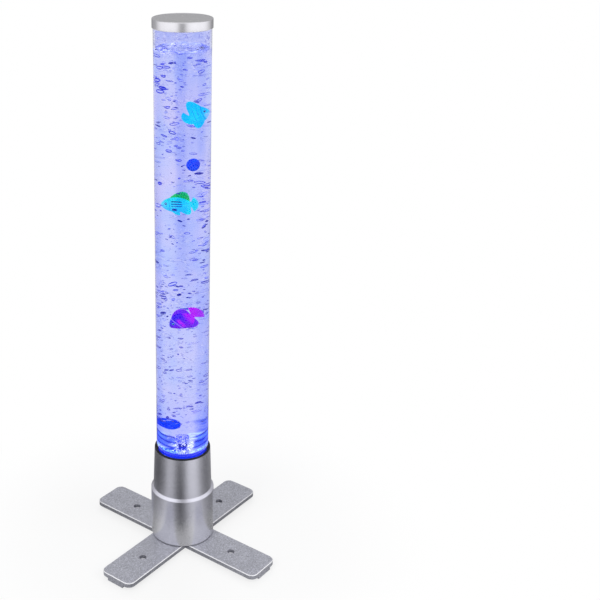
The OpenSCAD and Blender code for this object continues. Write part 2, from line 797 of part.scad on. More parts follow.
module light_diodes() {
    body_h = 1.2;
    dome_h = 0.5;
    color("lightyellow") around(led_count, led_circle_d / 2)
        translate([0, 0, z_board + board_t]) {
            translate([-led_w / 2, -led_w / 2, 0]) cube([led_w, led_w, body_h]);
            translate([0, 0, body_h - eps]) cylinder(r = led_w * 0.36, h = dome_h, $fn = 24);
        }
}

module light_board_screws() {
    color("dimgray") around(3, board_screw_r, 15)
        translate([0, 0, z_board + board_t]) pan_screw(small_screw, board_t + 2.8);
}

// ---------------------------------------------------------------- pump

pivot_x = -4;
pivot_up = 9;
z_pivot = z_pump + pivot_up;
core_tip_x = pivot_x - 1.5 - 3.5 - magnet_gap;
core_depth = 14;
core_l = 18;
core_up = 8;
core_h = 30;
core_leg = 5;
centre_leg = 8;
pump_lid_t = 3;
pump_boss_r = 3.4;

module pump_corners() {
    for (x = [-1, 1], y = [-1, 1])
        translate([x * (pump_l / 2 - pump_boss_r), y * (pump_w / 2 - pump_boss_r), 0]) children();
}

module pump_case() {
    floor_z = z_pump + pump_wall;
    wall_top = z_pump_top - pump_lid_t;
    lug_t = 3;
    lug_gap = 7;
    color("dimgray") difference() {
        union() {
            difference() {
                translate([-pump_l / 2, -pump_w / 2, z_pump]) cube([pump_l, pump_w, wall_top - z_pump]);
                translate([-pump_l / 2 + pump_wall, -pump_w / 2 + pump_wall, floor_z])
                    cube([pump_l - 2 * pump_wall, pump_w - 2 * pump_wall, pump_h]);
            }
            pump_corners() translate([0, 0, z_pump]) cylinder(r = pump_boss_r, h = wall_top - z_pump, $fn = 32);
            // cradles for the core and for the valve box
            translate([core_tip_x - core_l, -core_depth / 2, z_pump])
                cube([core_l, core_depth, core_up]);
            translate([valve_box_x, -8, z_pump]) cube([valve_box_l, 16, core_up]);
            for (side = [-1, 1])
                translate([pivot_x, side * (lug_gap + lug_t / 2), z_pump]) {
                    translate([-4, -lug_t / 2, 0]) cube([8, lug_t, pivot_up]);
                    translate([0, 0, pivot_up]) rotate([90, 0, 0])
                        cylinder(r = 4, h = lug_t, center = true, $fn = 32);
                }
        }
        translate([pivot_x, 0, z_pivot]) rotate([90, 0, 0])
            cylinder(r = 1.5 + pivot_fit, h = 2 * (lug_gap + lug_t) + 2, center = true, $fn = 32);
        pump_corners() translate([0, 0, wall_top - 10])
            cylinder(r = small_screw[0] + screw_fit, h = 11, $fn = 24);
        pump_mount_places() translate([0, 0, z_pump - 1]) cylinder(r = 2, h = pump_wall + 2, $fn = 24);
        translate([pump_wire_x, pump_w / 2 - pump_wall - 1, pump_wire_z]) rotate([-90, 0, 0])
            cylinder(r = 2, h = pump_wall + 2, $fn = 24);
    }
}

module pump_lid() {
    color("gray") difference() {
        union() {
            translate([-pump_l / 2, -pump_w / 2, z_pump_top - pump_lid_t]) cube([pump_l, pump_w, pump_lid_t]);
            // lip that drops inside the case
            difference() {
                translate([-pump_l / 2 + pump_wall + 0.2, -14, z_pump_top - pump_lid_t - 1.5])
                    cube([pump_l - 2 * pump_wall - 0.4, 28, 1.6]);
                translate([-pump_l / 2 + pump_wall + 2, -12, z_pump_top - pump_lid_t - 2])
                    cube([pump_l - 2 * pump_wall - 4, 24, 2]);
            }
        }
        translate([outlet_x, 0, z_pump_top - 6]) cylinder(r = hose_od / 2 + 0.5, h = 8);
        pump_corners() translate([0, 0, z_pump_top - 6])
            cylinder(r = small_screw[0] + clear_fit, h = 8, $fn = 24);
    }
}

module pump_lid_screws() {
    color("silver") pump_corners() translate([0, 0, z_pump_top]) pan_screw(small_screw, pump_lid_t + 8);
}

module pump_mount_places() {
    for (x = [-1, 1], y = [-1, 1])
        translate([x * 22, y * 15, 0]) children();
}

// Soft grommets: a foot below the case and a button that snaps through its floor
module pump_mounts() {
    neck_r = 1.9;
    color("black") pump_mount_places() rotate_extrude()
        polygon([[0, z_plate_top], [4.5, z_plate_top], [3.2, z_plate_top + mount_h / 2],
                 [4.2, z_pump], [neck_r, z_pump], [neck_r, z_pump + pump_wall],
                 [2.6, z_pump + pump_wall], [1.4, z_pump + pump_wall + 2.5],
                 [0, z_pump + pump_wall + 2.5]]);
}

// Laminated core shaped like an E, its three poles facing the armature
module pump_core() {
    x0 = core_tip_x - core_l;
    z0 = z_pump + core_up;
    mid0 = z0 + (core_h - centre_leg) / 2;
    color("slategray") translate([0, core_depth / 2, 0]) rotate([90, 0, 0])
        linear_extrude(core_depth)
            polygon([[x0, z0], [core_tip_x, z0], [core_tip_x, z0 + core_leg],
                     [x0 + core_leg, z0 + core_leg], [x0 + core_leg, mid0], [core_tip_x, mid0],
                     [core_tip_x, mid0 + centre_leg], [x0 + core_leg, mid0 + centre_leg],
                     [x0 + core_leg, z0 + core_h - core_leg], [core_tip_x, z0 + core_h - core_leg],
                     [core_tip_x, z0 + core_h], [x0, z0 + core_h]]);
}

// Box-shaped sleeve along X, round the core's middle leg
module coil_sleeve(x0, l, inner, outer) {
    mid_z = z_pump + core_up + core_h / 2;
    half_y = core_depth / 2;
    half_z = centre_leg / 2;
    difference() {
        translate([x0, -half_y - outer, mid_z - half_z - outer])
            cube([l, 2 * (half_y + outer), 2 * (half_z + outer)]);
        translate([x0 - 1, -half_y - inner, mid_z - half_z - inner])
            cube([l + 2, 2 * (half_y + inner), 2 * (half_z + inner)]);
    }
}
bobbin_x = core_tip_x - core_l + core_leg + 0.4;
bobbin_l = core_l - core_leg - 1.4;

module coil_bobbin() {
    color("ivory") {
        coil_sleeve(bobbin_x, bobbin_l, 0.2, 1.2);
        coil_sleeve(bobbin_x, 1, 0.2, 5.6);
        coil_sleeve(bobbin_x + bobbin_l - 1, 1, 0.2, 5.6);
    }
}

module coil_winding() {
    color("peru") coil_sleeve(bobbin_x + 1.05, bobbin_l - 2.1, 1.25, 5.2);
}

// Lever that the core shakes; it turns on a pin in the case and works the diaphragm
module armature() {
    lever_t = 3;
    top = z_pump + core_up + core_h - 2;
    stud_z = z_pump + core_up + core_h / 2;
    color("lightslategray") {
        translate([pivot_x - lever_t / 2, -6, z_pivot]) cube([lever_t, 12, top - z_pivot]);
        translate([pivot_x, 0, z_pivot]) rotate([90, 0, 0])
            cylinder(r = 3, h = 12, center = true, $fn = 32);
        translate([pivot_x, 0, z_pivot]) rotate([90, 0, 0])
            cylinder(r = 1.5, h = 19.6, center = true, $fn = 32);
        translate([pivot_x, 0, stud_z]) rotate([0, 90, 0]) cylinder(r = 3, h = stud_l, $fn = 32);
    }
}
stud_l = 6.5;

module armature_magnet() {
    lever_t = 3;
    magnet_t = 3.5;
    magnet_h = 22;
    mid_z = z_pump + core_up + core_h / 2;
    color("darkgray")
        translate([pivot_x - lever_t / 2 - magnet_t, -6, mid_z - magnet_h / 2 + 2])
            cube([magnet_t, 12, magnet_h]);
}

// Rubber dish with a rolled edge and a thick middle, clamped to the valve box
diaphragm_x = pivot_x + stud_l + 0.6;
diaphragm_r = 12;
module pump_diaphragm() {
    stud_z = z_pump + core_up + core_h / 2;
    color("black") translate([diaphragm_x, 0, stud_z]) rotate([0, 90, 0]) rotate_extrude()
        polygon([[0, 0], [4, 0], [4.6, 1.6], [6.5, 0.8], [8.5, 0.8], [9.8, 2],
                 [diaphragm_r, 2], [diaphragm_r, 4], [9, 4], [8, 2.2], [6.8, 2.2], [5, 4], [0, 4]]);
}
valve_box_x = diaphragm_x + 4;
valve_box_l = 20;

// Air chamber behind the diaphragm, with the outlet that rises through the lid
module valve_box() {
    stud_z = z_pump + core_up + core_h / 2;
    box_w = 28;
    box_h = core_h - 2;
    chamber_r = 9.5;
    chamber_l = 8;
    color("gainsboro") difference() {
        union() {
            translate([valve_box_x, -box_w / 2, z_pump + core_up]) cube([valve_box_l, box_w, box_h]);
            translate([outlet_x, 0, z_pump + core_up + box_h - 1])
                cylinder(r = 3, h = z_pump_top - pump_lid_t + 1 - (z_pump + core_up + box_h));
            translate([outlet_x, 0, z_pump + core_up + box_h - 1])
                cylinder(r = barb_r, h = z_pump_top + barb_l - (z_pump + core_up + box_h) + 1);
        }
        translate([valve_box_x - 1, 0, stud_z]) rotate([0, 90, 0]) cylinder(r = chamber_r, h = chamber_l + 1);
        translate([outlet_x, 0, stud_z]) cylinder(r = air_bore_r, h = pump_h);
        translate([valve_box_x + chamber_l - 1, 0, stud_z]) rotate([0, 90, 0])
            cylinder(r = air_bore_r, h = outlet_x - valve_box_x - chamber_l + 1);
    }
}

// ---------------------------------------------------------------- controls

control_board_w = 56;
control_board_h = 62;
board_y = housing_bore_r - 18.5;
board_hold_x = control_board_w / 2 - 2;
board_lift = 4;
z_control_board = z_plate_top + board_lift;
board_front = board_y + board_t;
plunger_w = 3.1;
switch_w = 8;
switch_l = 7;

module control_board() {
    color("darkgreen") translate([-control_board_w / 2, board_y, z_control_board])
        cube([control_board_w, board_t, control_board_h]);
}

// Chip, two capacitors, and the two sockets that the wires go into
module board_parts() {
    socket_d = 4;
    color("darkslategray") {
        translate([-5, board_front, z_control + 16]) cube([10, 1.6, 6]);
        translate([-20, board_front, z_control + 20]) cube([6, 2.4, 5]);
        for (x = [8, 17])
            translate([x, board_front, z_control + 22]) rotate([-90, 0, 0]) cylinder(r = 3.5, h = 8, $fn = 32);
        translate([pump_wire_x - 3, board_y - socket_d, pump_socket_z]) cube([6, socket_d, 5]);
        translate([light_wire_x - 4, board_y - socket_d, light_socket_z]) cube([8, socket_d, 5]);
    }
}
pump_socket_z = z_control + 8;
light_socket_z = z_control + 26;
pump_wire_x = bobbin_x + bobbin_l - 0.5;
pump_wire_z = z_pump + pump_h - 14;
light_wire_x = 8;

// Barrel socket for the low-voltage plug, with its centre pin
module power_inlet() {
    body_w = 9;
    body_h = 11;
    front = wall_y(control_x) + 4.2;
    bore_l = 9.5;
    color("black") control_axis(1) {
        difference() {
            union() {
                translate([-body_w / 2, -body_h / 2, board_front])
                    cube([body_w, body_h, guide_y - 1 - board_front]);
                translate([0, 0, board_front + 2])
                    cylinder(r = inlet_front_r, h = front - board_front - 2, $fn = 48);
            }
            translate([0, 0, front - bore_l]) cylinder(d = inlet_bore_d, h = bore_l + 1, $fn = 48);
        }
        translate([0, 0, front - bore_l - 1]) cylinder(r = 1, h = bore_l - 0.5, $fn = 24);
    }
}

module switch_body() {
    color("black") control_axis(-1) difference() {
        translate([-switch_w / 2, -switch_w / 2, board_front]) cube([switch_w, switch_w, switch_l]);
        translate([-plunger_w / 2 - 0.1, -plunger_w / 2 - 0.1, board_front + 0.6])
            cube([plunger_w + 0.2, plunger_w + 0.2, switch_l]);
    }
}

module switch_plunger() {
    color("white") control_axis(-1)
        translate([-plunger_w / 2, -plunger_w / 2, board_front + 3.2])
            cube([plunger_w, plunger_w, switch_l + 2]);
}

// Round button with a flange that stops behind its guide and a stem for the plunger
module power_button() {
    button_r = button_d / 2;
    stem_from = board_front + switch_l + 2.6;
    flange_t = 1.5;
    flange_from = guide_y - 0.1 - flange_t;
    face = sqrt(pow(housing_r, 2) - pow(control_x, 2)) + button_out;
    color("dimgray") control_axis(-1) difference() {
        union() {
            rotate_extrude()
                polygon([[0, stem_from], [3.2, stem_from], [3.2, flange_from],
                         [button_r + 1.5, flange_from], [button_r + 1.5, flange_from + flange_t],
                         [button_r, flange_from + flange_t], [button_r, face - 0.8],
                         [button_r - 0.8, face], [button_r - 2, face], [button_r - 2.6, face - 0.5],
                         [0, face - 0.5]]);
        }
        translate([-plunger_w / 2 - 0.05, -plunger_w / 2 - 0.05, stem_from - 1])
            cube([plunger_w + 0.1, plunger_w + 0.1, 1 + plunger_grip]);
    }
}
plunger_grip = 2.65;

// Routes of the wires inside the base
light_route = [[light_wire_x, board_y - 4, light_socket_z + 2.5],
               [light_wire_x, board_y - 6, light_socket_z + 2.5],
               [light_wire_x, board_y - 8.5, light_socket_z + 4],
               [8.2, 30, 80], [8.6, 28.5, 86], [9.5, 26, 93], [11, 23, 101], [13, 20, 110],
               [15, 17, 120], [17, 15, 132], [18.5, 13, 146], [19.5, 11.5, 160], [20, 11, 172],
               [20, 11, z_board - 6], [20, 11, z_board]];
pump_route = [[pump_wire_x, core_depth / 2 + 5.6, pump_wire_z], [pump_wire_x, 17, pump_wire_z],
              [pump_wire_x, 21, pump_wire_z], [pump_wire_x, 25, pump_wire_z],
              [pump_wire_x, 29, pump_wire_z - 1], [pump_wire_x, 32, pump_socket_z + 2.5],
              [pump_wire_x, board_y - 4, pump_socket_z + 2.5]];

module light_wire() {
    color("firebrick") wire(light_route, 1.4);
}

module pump_wire() {
    color("goldenrod") wire(pump_route, 1.2);
}

// ---------------------------------------------------------------- legs and feet

// Plan of a leg bar with round corners, thinner by the inset all round
module bar_block(inset, z0, z1, edge) {
    r = leg_corner_r - inset;
    dx = leg_span / 2 - leg_corner_r;
    dy = leg_w / 2 - leg_corner_r;
    hull()
        for (x = [-dx, dx], y = [-dy, dy])
            translate([x, y, 0]) {
                translate([0, 0, z0]) cylinder(r = r, h = z1 - z0 - edge, $fn = 48);
                translate([0, 0, z0]) cylinder(r = r - edge, h = z1 - z0, $fn = 48);
            }
}

// A bar moulded as a shallow tray, open below, with ribs, screw wells and a solid middle
module leg_bar() {
    solid_half = leg_w / 2 + 4;
    rib_t = 2;
    rail_y = 14;
    well_r = well_d / 2 + leg_wall;
    color("darkgray") difference() {
        union() {
            difference() {
                bar_block(0, z_leg, z_leg_top, leg_edge);
                difference() {
                    bar_block(leg_wall, z_leg - 1, z_leg_top - leg_wall, 0);
                    translate([-solid_half, -leg_w, z_leg - 2]) cube([2 * solid_half, 2 * leg_w, leg_t]);
                    for (side = [-1, 1])
                        translate([-leg_span, side * rail_y - rib_t / 2, z_leg])
                            cube([2 * leg_span, rib_t, leg_t]);
                    for (end = [-1, 1], x = [solid_half + rib_pitch : rib_pitch : leg_tip - 12])
                        translate([end * x - rib_t / 2, -leg_w, z_leg + 2]) cube([rib_t, 2 * leg_w, leg_t]);
                    for (end = [-1, 1])
                        translate([end * foot_screw_r, 0, z_leg]) cylinder(r = well_r, h = leg_t);
                }
            }
        }
        for (end = [-1, 1])
            translate([end * foot_screw_r, 0, 0]) {
                translate([0, 0, z_leg_top - well_depth]) cylinder(d = well_d, h = leg_t);
                translate([0, 0, z_leg - 1]) cylinder(r = foot_screw[0] + clear_fit, h = leg_t);
            }
        around(4, leg_bolt_circle_d / 2, 45)
            translate([0, 0, z_leg - 1]) cylinder(r = leg_bolt[0] + clear_fit, h = leg_t + 2);
    }
}

// The two bars are halved into each other where they cross
module leg_bar_upper() {
    half_z = z_leg + leg_t / 2;
    rotate(45) difference() {
        leg_bar();
        translate([-leg_w / 2 - lap_fit, -leg_w, z_leg - 1])
            cube([leg_w + 2 * lap_fit, 2 * leg_w, half_z - z_leg + 1]);
    }
}

module leg_bar_lower() {
    half_z = z_leg + leg_t / 2;
    rotate(-45) difference() {
        leg_bar();
        translate([-leg_w / 2 - lap_fit, -leg_w, half_z])
            cube([leg_w + 2 * lap_fit, 2 * leg_w, leg_t]);
    }
}

module leg_bolts() {
    color("silver") around(4, leg_bolt_circle_d / 2, 0)
        translate([0, 0, z_leg]) mirror([0, 0, 1]) pan_screw(leg_bolt, leg_t + plate_t + 4);
}

// Narrow runner under the end of a leg, flush with the leg's tip
module foot(turn) {
    in_x = leg_tip - foot_len;
    pad_rim = 3;
    color("darkgray") rotate(turn) difference() {
        translate([in_x, -foot_w / 2, z_foot]) cube([foot_len, foot_w, foot_h]);
        translate([in_x + pad_rim, -foot_w / 2 + pad_rim, z_foot - 1])
            cube([foot_len - 2 * pad_rim, foot_w - 2 * pad_rim, pad_recess + 1]);
        translate([foot_screw_r, 0, z_foot]) cylinder(r = foot_screw[0] + screw_fit, h = foot_h + 1);
    }
}
module foot_rear_right() { foot(45); }
module foot_rear_left() { foot(135); }
module foot_front_left() { foot(225); }
module foot_front_right() { foot(315); }

module foot_screws() {
    shank_l = leg_t - well_depth + foot_h - pad_recess - 0.5;
    color("silver") around(4, foot_screw_r, 45)
        translate([0, 0, z_leg_top - well_depth]) rotate(20) pan_screw(foot_screw, shank_l);
}

module foot_pads() {
    in_x = leg_tip - foot_len;
    pad_rim = 3.2;
    color("black") around(4, 0, 45)
        translate([in_x + pad_rim, -foot_w / 2 + pad_rim, 0])
            cube([foot_len - 2 * pad_rim, foot_w - 2 * pad_rim, pad_t]);
}

// ---------------------------------------------------------------- the lamp

top_cap();
cap_ring();
acrylic_tube();
tube_floor();
air_stone();
air_nozzle();
nozzle_washer();
nozzle_nut();
cyan_fish();
striped_fish();
purple_fish();
upper_ball();
lower_ball();
tube_collar();
rim_ring();
collar_screws();
base_housing();
base_plate();
housing_screws();
light_tower();
tower_screws();
light_board();
light_diodes();
light_board_screws();
check_valve_body();
check_valve_cap();
check_valve_flap();
upper_hose();
lower_hose();
pump_case();
pump_lid();
pump_lid_screws();
pump_mounts();
pump_core();
coil_bobbin();
coil_winding();
armature();
armature_magnet();
pump_diaphragm();
valve_box();
control_board();
board_parts();
power_inlet();
switch_body();
switch_plunger();
power_button();
light_wire();
pump_wire();
leg_bar_upper();
leg_bar_lower();
leg_bolts();
foot_front_right();
foot_rear_right();
foot_rear_left();
foot_front_left();
foot_screws();
foot_pads();
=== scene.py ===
import json
import math

import bmesh
import bpy
from mathutils import Matrix, Vector


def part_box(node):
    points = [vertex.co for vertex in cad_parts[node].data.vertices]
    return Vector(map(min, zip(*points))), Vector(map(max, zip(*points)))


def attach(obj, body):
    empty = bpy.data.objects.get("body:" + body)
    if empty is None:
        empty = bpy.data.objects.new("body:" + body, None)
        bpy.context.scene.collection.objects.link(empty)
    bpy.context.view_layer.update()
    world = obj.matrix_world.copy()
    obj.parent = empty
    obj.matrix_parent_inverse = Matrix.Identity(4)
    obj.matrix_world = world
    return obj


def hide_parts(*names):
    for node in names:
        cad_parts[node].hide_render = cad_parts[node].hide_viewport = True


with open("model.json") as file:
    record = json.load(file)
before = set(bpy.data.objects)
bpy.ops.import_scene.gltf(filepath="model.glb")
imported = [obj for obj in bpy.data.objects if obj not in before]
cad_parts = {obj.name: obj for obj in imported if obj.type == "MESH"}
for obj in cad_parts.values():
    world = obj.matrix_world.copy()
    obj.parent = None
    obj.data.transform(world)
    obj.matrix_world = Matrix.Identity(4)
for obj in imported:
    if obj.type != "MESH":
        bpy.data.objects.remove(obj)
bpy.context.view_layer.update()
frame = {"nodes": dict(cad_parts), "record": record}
scene = bpy.context.scene
scene.view_settings.view_transform = "Standard"
mm = 0.001


# small helpers for node trees
def shade(red, green, blue):  # screen colour 0-255 to the linear one that sockets take
    def linear(v):
        return v / 12.92 if v <= 0.04045 else ((v + 0.055) / 1.055) ** 2.4

    return tuple(linear(v / 255) for v in (red, green, blue))


def operator(operation, reflected=False):  # adds a Math node; reflected is for 1 - mask
    def apply(self, other):
        return self.maths(operation, *((other, self) if reflected else (self, other)))

    return apply


class Wire:  # one socket, so that masks and sizes read as sums
    def __init__(self, graph, socket):
        self.graph, self.socket = graph, socket

    def maths(self, operation, *values):
        return self.graph.node("ShaderNodeMath", {"operation": operation}, dict(enumerate(values)))

    __add__, __radd__ = operator("ADD"), operator("ADD", True)
    __sub__, __rsub__ = operator("SUBTRACT"), operator("SUBTRACT", True)
    __mul__, __rmul__ = operator("MULTIPLY"), operator("MULTIPLY", True)
    __truediv__, __rtruediv__ = operator("DIVIDE"), operator("DIVIDE", True)
    __pow__, __gt__, __lt__ = operator("POWER"), operator("GREATER_THAN"), operator("LESS_THAN")

    def __abs__(self):
        return self.maths("ABSOLUTE", self)

    def ramp(self, low, high, to=(0.0, 1.0)):  # soft step from one value to another
        return self.graph.node(
            "ShaderNodeMapRange",
            {"interpolation_type": "SMOOTHSTEP"},
            {"Value": self, "From Min": low, "From Max": high, "To Min": to[0], "To Max": to[1]},
        )


def hypot(x, y):  # length of a flat distance
    square = x * x + y * y
    return square.maths("SQRT", square)


class Graph:  # a node tree that is being filled
    def __init__(self, tree):
        self.tree = tree
        tree.nodes.clear()

    def node(self, kind, settings=None, sockets=None, out=0):
        made = self.tree.nodes.new(kind)
        for key, value in (settings or {}).items():
            if key == "stops":
                stops = made.color_ramp.elements
                stops[0].position, stops[1].position = value[0][0], value[-1][0]
                stops[0].color, stops[1].color = (*value[0][1], 1), (*value[-1][1], 1)
                for place, colour in value[1:-1]:
                    stops.new(place).color = (*colour, 1)
            else:
                setattr(made, key, value)
        for key, value in (sockets or {}).items():
            socket = made.inputs[key]
            if isinstance(value, Wire):
                self.tree.links.new(value.socket, socket)
            elif socket.type == "RGBA" and len(value) == 3:
                socket.default_value = (*value, 1)
            else:
                socket.default_value = value
        return Wire(self, made.outputs[out]) if made.outputs else made

    def blend(self, share, low, high):  # colours
        settings = {"data_type": "RGBA", "clamp_factor": True}
        return self.node("ShaderNodeMix", settings, {0: share, 6: low, 7: high}, out=2)

    def layers(self, base, *coats):  # coats of (share, colour 0-255), each over the last
        colour = base if isinstance(base, Wire) else shade(*base)
        for share, paint in coats:
            colour = self.blend(share, colour, shade(*paint))
        return colour

    def part(self, vector, axis):  # x, y or z of a vector
        return self.node("ShaderNodeSeparateXYZ", None, {0: vector}, out=axis)

    def place(self, **mapping):
        spot = self.node("ShaderNodeTexCoord", out="Object")
        if mapping:
            spot = self.node("ShaderNodeMapping", None, {"Vector": spot, **mapping})
        return spot

    def where(self):  # x, y and z on the piece, in metres
        spot = self.place()
        return [self.part(spot, axis) for axis in range(3)]

    def upright(self):  # 1 where the surface looks up, -1 where it looks down
        return self.part(self.node("ShaderNodeNewGeometry", out="Normal"), 2)

    def facing(self):  # 0 seen head-on, 1 at the outline
        return self.node("ShaderNodeLayerWeight", None, {"Blend": 0.5}, out="Facing")

    def noise(self, size, detail=2.0, rough=0.5, stretch=(1, 1, 1), shift=(0, 0, 0)):  # size in mm
        spot = self.place(Scale=tuple(s / (size * mm) for s in stretch), Location=shift)
        sockets = {"Vector": spot, "Scale": 1.0, "Detail": detail, "Roughness": rough}
        return self.node("ShaderNodeTexNoise", None, sockets)

    def cells(self, size, out="Distance"):  # size in mm
        spot = self.place(Scale=(1 / (size * mm),) * 3)
        return self.node("ShaderNodeTexVoronoi", None, {"Vector": spot, "Scale": 1.0}, out=out)

    def bump(self, height, depth, strength):  # depth in mm
        sockets = {"Height": height, "Distance": depth * mm, "Strength": strength}
        return self.node("ShaderNodeBump", None, sockets)

    def principled(self, sockets):
        return self.node("ShaderNodeBsdfPrincipled", None, sockets)

    def close(self, shader):
        self.node("ShaderNodeOutputMaterial", None, {"Surface": shader})


def newFinish(name):
    material = bpy.data.materials.new(name)
    material.use_nodes = True
    return material, Graph(material.node_tree)


# the bevel colour is a painted highlight; the foot colour, its heights and its share are painted
# light at the foot
mouldedBase = dict(
    mottle=0.12, cloud=9.0, grain=0.9, spread=0.06, metal=0.0, coat=0.0, coatRough=0.2, ior=1.49,
    depth=0.05, strength=0.6, bevelHighlight=(0.93, 0.93, 0.96), paintedLightColour=(0.95, 0.95, 0.99),
    paintedLightFrom=0.095, paintedLightTo=0.045,
)


def mouldedFinish(name, given):
    look = {**mouldedBase, **given}
    material, g = newFinish(name)
    colour = shade(*look["colour"])

    def scaled(factor, more=0.0):
        return tuple(min(1, c * factor + more) for c in colour)

    cloud = g.noise(look["cloud"], 3.0, 0.6)
    grain = g.noise(look["grain"], 3.0, 0.55)
    body = g.blend(cloud.ramp(0.3, 0.7), scaled(1 - look["mottle"]), scaled(1 + look["mottle"]))
    if "fleck" in look:  # metallic flakes in the paint; their glints and dark sides are painted in as lighter and darker specks
        flake = g.node("ShaderNodeSeparateColor", None, {0: g.cells(look["fleck"], "Color")})
        body = g.blend(flake.ramp(0.55, 1.0) * look["sparkle"], body, scaled(1.7, 0.05))
        body = g.blend(flake.ramp(0.4, 0.0) * look["sparkle"], body, scaled(0.45))
    if "edge" in look:  # painted shade on the sides, darker than the top, and a painted highlight on the bevel between them
        upright = g.upright()
        body = g.blend(upright.ramp(0.5, 0.2) * look["side"], body, scaled(0.25))
        bevelHighlight = upright.ramp(0.3, 0.6) * upright.ramp(0.97, 0.85)
        body = g.blend(bevelHighlight * look["edge"], body, look["bevelHighlight"])
    if "paintedLightShare" in look:  # painted light: paler towards the foot
        low = g.where()[2].ramp(look["paintedLightFrom"], look["paintedLightTo"])
        body = g.blend(low * look["paintedLightShare"], body, look["paintedLightColour"])
    height = grain * 0.7 + cloud * 0.3
    if "brushed" in look:  # fine lines round the shell
        lines = g.noise(0.7, 3.0, 0.7, (0.012, 0.012, 1))
        height = height * (1 - look["brushed"]) + lines * look["brushed"]
    smooth, coarse = look["rough"] - look["spread"], look["rough"] + look["spread"]
    g.close(g.principled({
        "Base Color": body,
        "Roughness": grain.ramp(0.25, 0.75, (smooth, coarse)),
        "Metallic": look["metal"],
        "Coat Weight": look["coat"],
        "Coat Roughness": look["coatRough"],
        "IOR": look["ior"],
        "Normal": g.bump(height, look["depth"], look["strength"]),
    }))
    return material


# small helpers for meshes
def circle(sides):  # directions all round
    turns = [2 * math.pi * k / sides for k in range(sides)]
    return [(math.cos(a), math.sin(a)) for a in turns]


def hoopFaces(hoops, sides):  # quads between hoops of points that follow each other
    faces = []
    for i in range(hoops):
        for k in range(sides):
            here, n = i * sides, (k + 1) % sides
            faces.append([here + k, here + n, here + sides + n, here + sides + k])
    return faces


def newPiece(name, data):
    piece = bpy.data.objects.new(name, data)
    scene.collection.objects.link(piece)
    return piece


def meshPiece(name, points, faces, finish, smooth):
    mesh = bpy.data.meshes.new(name)
    mesh.from_pydata([tuple(p) for p in points], [], faces)
    mesh.validate()
    mesh.materials.append(finish)
    if smooth:
        mesh.shade_smooth()
        mesh.set_sharp_from_angle(angle=math.radians(smooth))
    return newPiece(name, mesh)


def eased(profile, radius, steps=4):  # rounds the corners of a closed profile, in mm
    soft = []
    for i, here in enumerate(profile):
        before, after = Vector(profile[i - 1]), Vector(profile[(i + 1) % len(profile)])
        here = Vector(here)
        toBefore, toAfter = before - here, after - here
        cut = min(radius, toBefore.length * 0.45, toAfter.length * 0.45)
        if here.x < 0.01 or cut < 0.02:
            soft.append(tuple(here))
            continue
        a, b = here + toBefore.normalized() * cut, here + toAfter.normalized() * cut
        for k in range(steps + 1):
            t = k / steps
            soft.append(tuple(a * (1 - t) ** 2 + here * 2 * t * (1 - t) + b * t * t))
    return soft


def lathe(name, profile, finish, sides=256, radius=0.4, smooth=8):  # (r, z) in mm, clockwise
    points, faces, rows = [], [], []
    for r, z in eased(profile, radius) if radius else profile:
        if r < 0.01:
            rows.append([len(points)] * sides)
            points.append((0, 0, z * mm))
        else:
            rows.append(list(range(len(points), len(points) + sides)))
            points += [(r * mm * c, r * mm * s, z * mm) for c, s in circle(sides)]
    for i, row in enumerate(rows):
        below = rows[(i + 1) % len(rows)]
        if row[0] == row[1] and below[0] == below[1]:
            continue
        for k in range(sides):
            n = (k + 1) % sides
            ring = [row[k], row[n], below[n], below[k]]
            faces.append([v for j, v in enumerate(ring) if v != ring[j - 1]])
    piece = meshPiece(name, points, faces, finish, smooth)
    squareUp(piece)
    return piece


def squareUp(piece):  # merges doubles and turns the faces outwards
    work = bmesh.new()
    work.from_mesh(piece.data)
    bmesh.ops.remove_doubles(work, verts=work.verts, dist=1e-7)
    bmesh.ops.recalc_face_normals(work, faces=work.faces)
    work.to_mesh(piece.data)
    work.free()


def keep(piece, body, slotName, *nodes):  # rides its body and replaces the given nodes
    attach(piece, body)
    if nodes:
        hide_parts(*nodes)


def dress(finish, *nodes):
    for name in nodes:
        for s in frame["nodes"][name].material_slots:
            s.link = "OBJECT"
            s.material = finish


print("frame loaded:", len(frame["nodes"]), "nodes")

# studio: white floor and backdrop, soft lamps, and a wall that only gloss sees
studio = dict(
    floorGrey=0.86, floorReach=9, nearWhite=0.76, clearFrom=0.22, clearTo=0.52, sky=0.62,
    wallRadius=0.44, wallHeight=1.7, wallFoot=0.0005, wallHub=0.03, wallSides=96,
)
lamps = {
    "keyLamp": dict(place=(-1.5, -1.6, 2.2), aim=(0, 0, 0.5), size=(1.2, 1.2), power=26),
    "fillLamp": dict(place=(1.8, -1.2, 1.6), aim=(0, 0, 0.4), size=(1.2, 1.2), power=15),
    "backLamp": dict(place=(0.4, 2.0, 1.9), aim=(0, 0, 0.5), size=(1.4, 1.0), power=14),
}
view = dict(
    distance=1.838, height=1.3218, pitch=0.3729, yaw=math.radians(5.92),
    focal=1089.2, left=182.5, up=256.0, side=600, sensor=36,  # in pixels, but for the sensor
)


def raysSeen(g):  # camera, glossy and transmission rays
    share = g.node("ShaderNodeLightPath", out="Is Camera Ray")
    for name in ("Is Glossy Ray", "Is Transmission Ray"):
        share = share.maths("MAXIMUM", share, g.node("ShaderNodeLightPath", out=name))
    return share


def makeFloor():
    finish, g = newFinish("studioFloor")
    away = g.node("ShaderNodeVectorMath", {"operation": "LENGTH"}, {0: g.place()}, out="Value")
    white = away.ramp(studio["clearFrom"], studio["clearTo"], (studio["nearWhite"], 1.0))
    matt = g.node("ShaderNodeBsdfDiffuse", None, {"Color": (studio["floorGrey"],) * 3})
    light = g.node("ShaderNodeEmission", None, {"Color": (1, 1, 1), "Strength": 1.0})
    g.close(g.node("ShaderNodeMixShader", None, {0: white * raysSeen(g), 1: matt, 2: light}))
    far = studio["floorReach"]
    corners = [(-far, -far, 0), (far, -far, 0), (far, far, 0), (-far, far, 0)]
    meshPiece("studioFloor", corners, [(0, 1, 2, 3)], finish, 0)


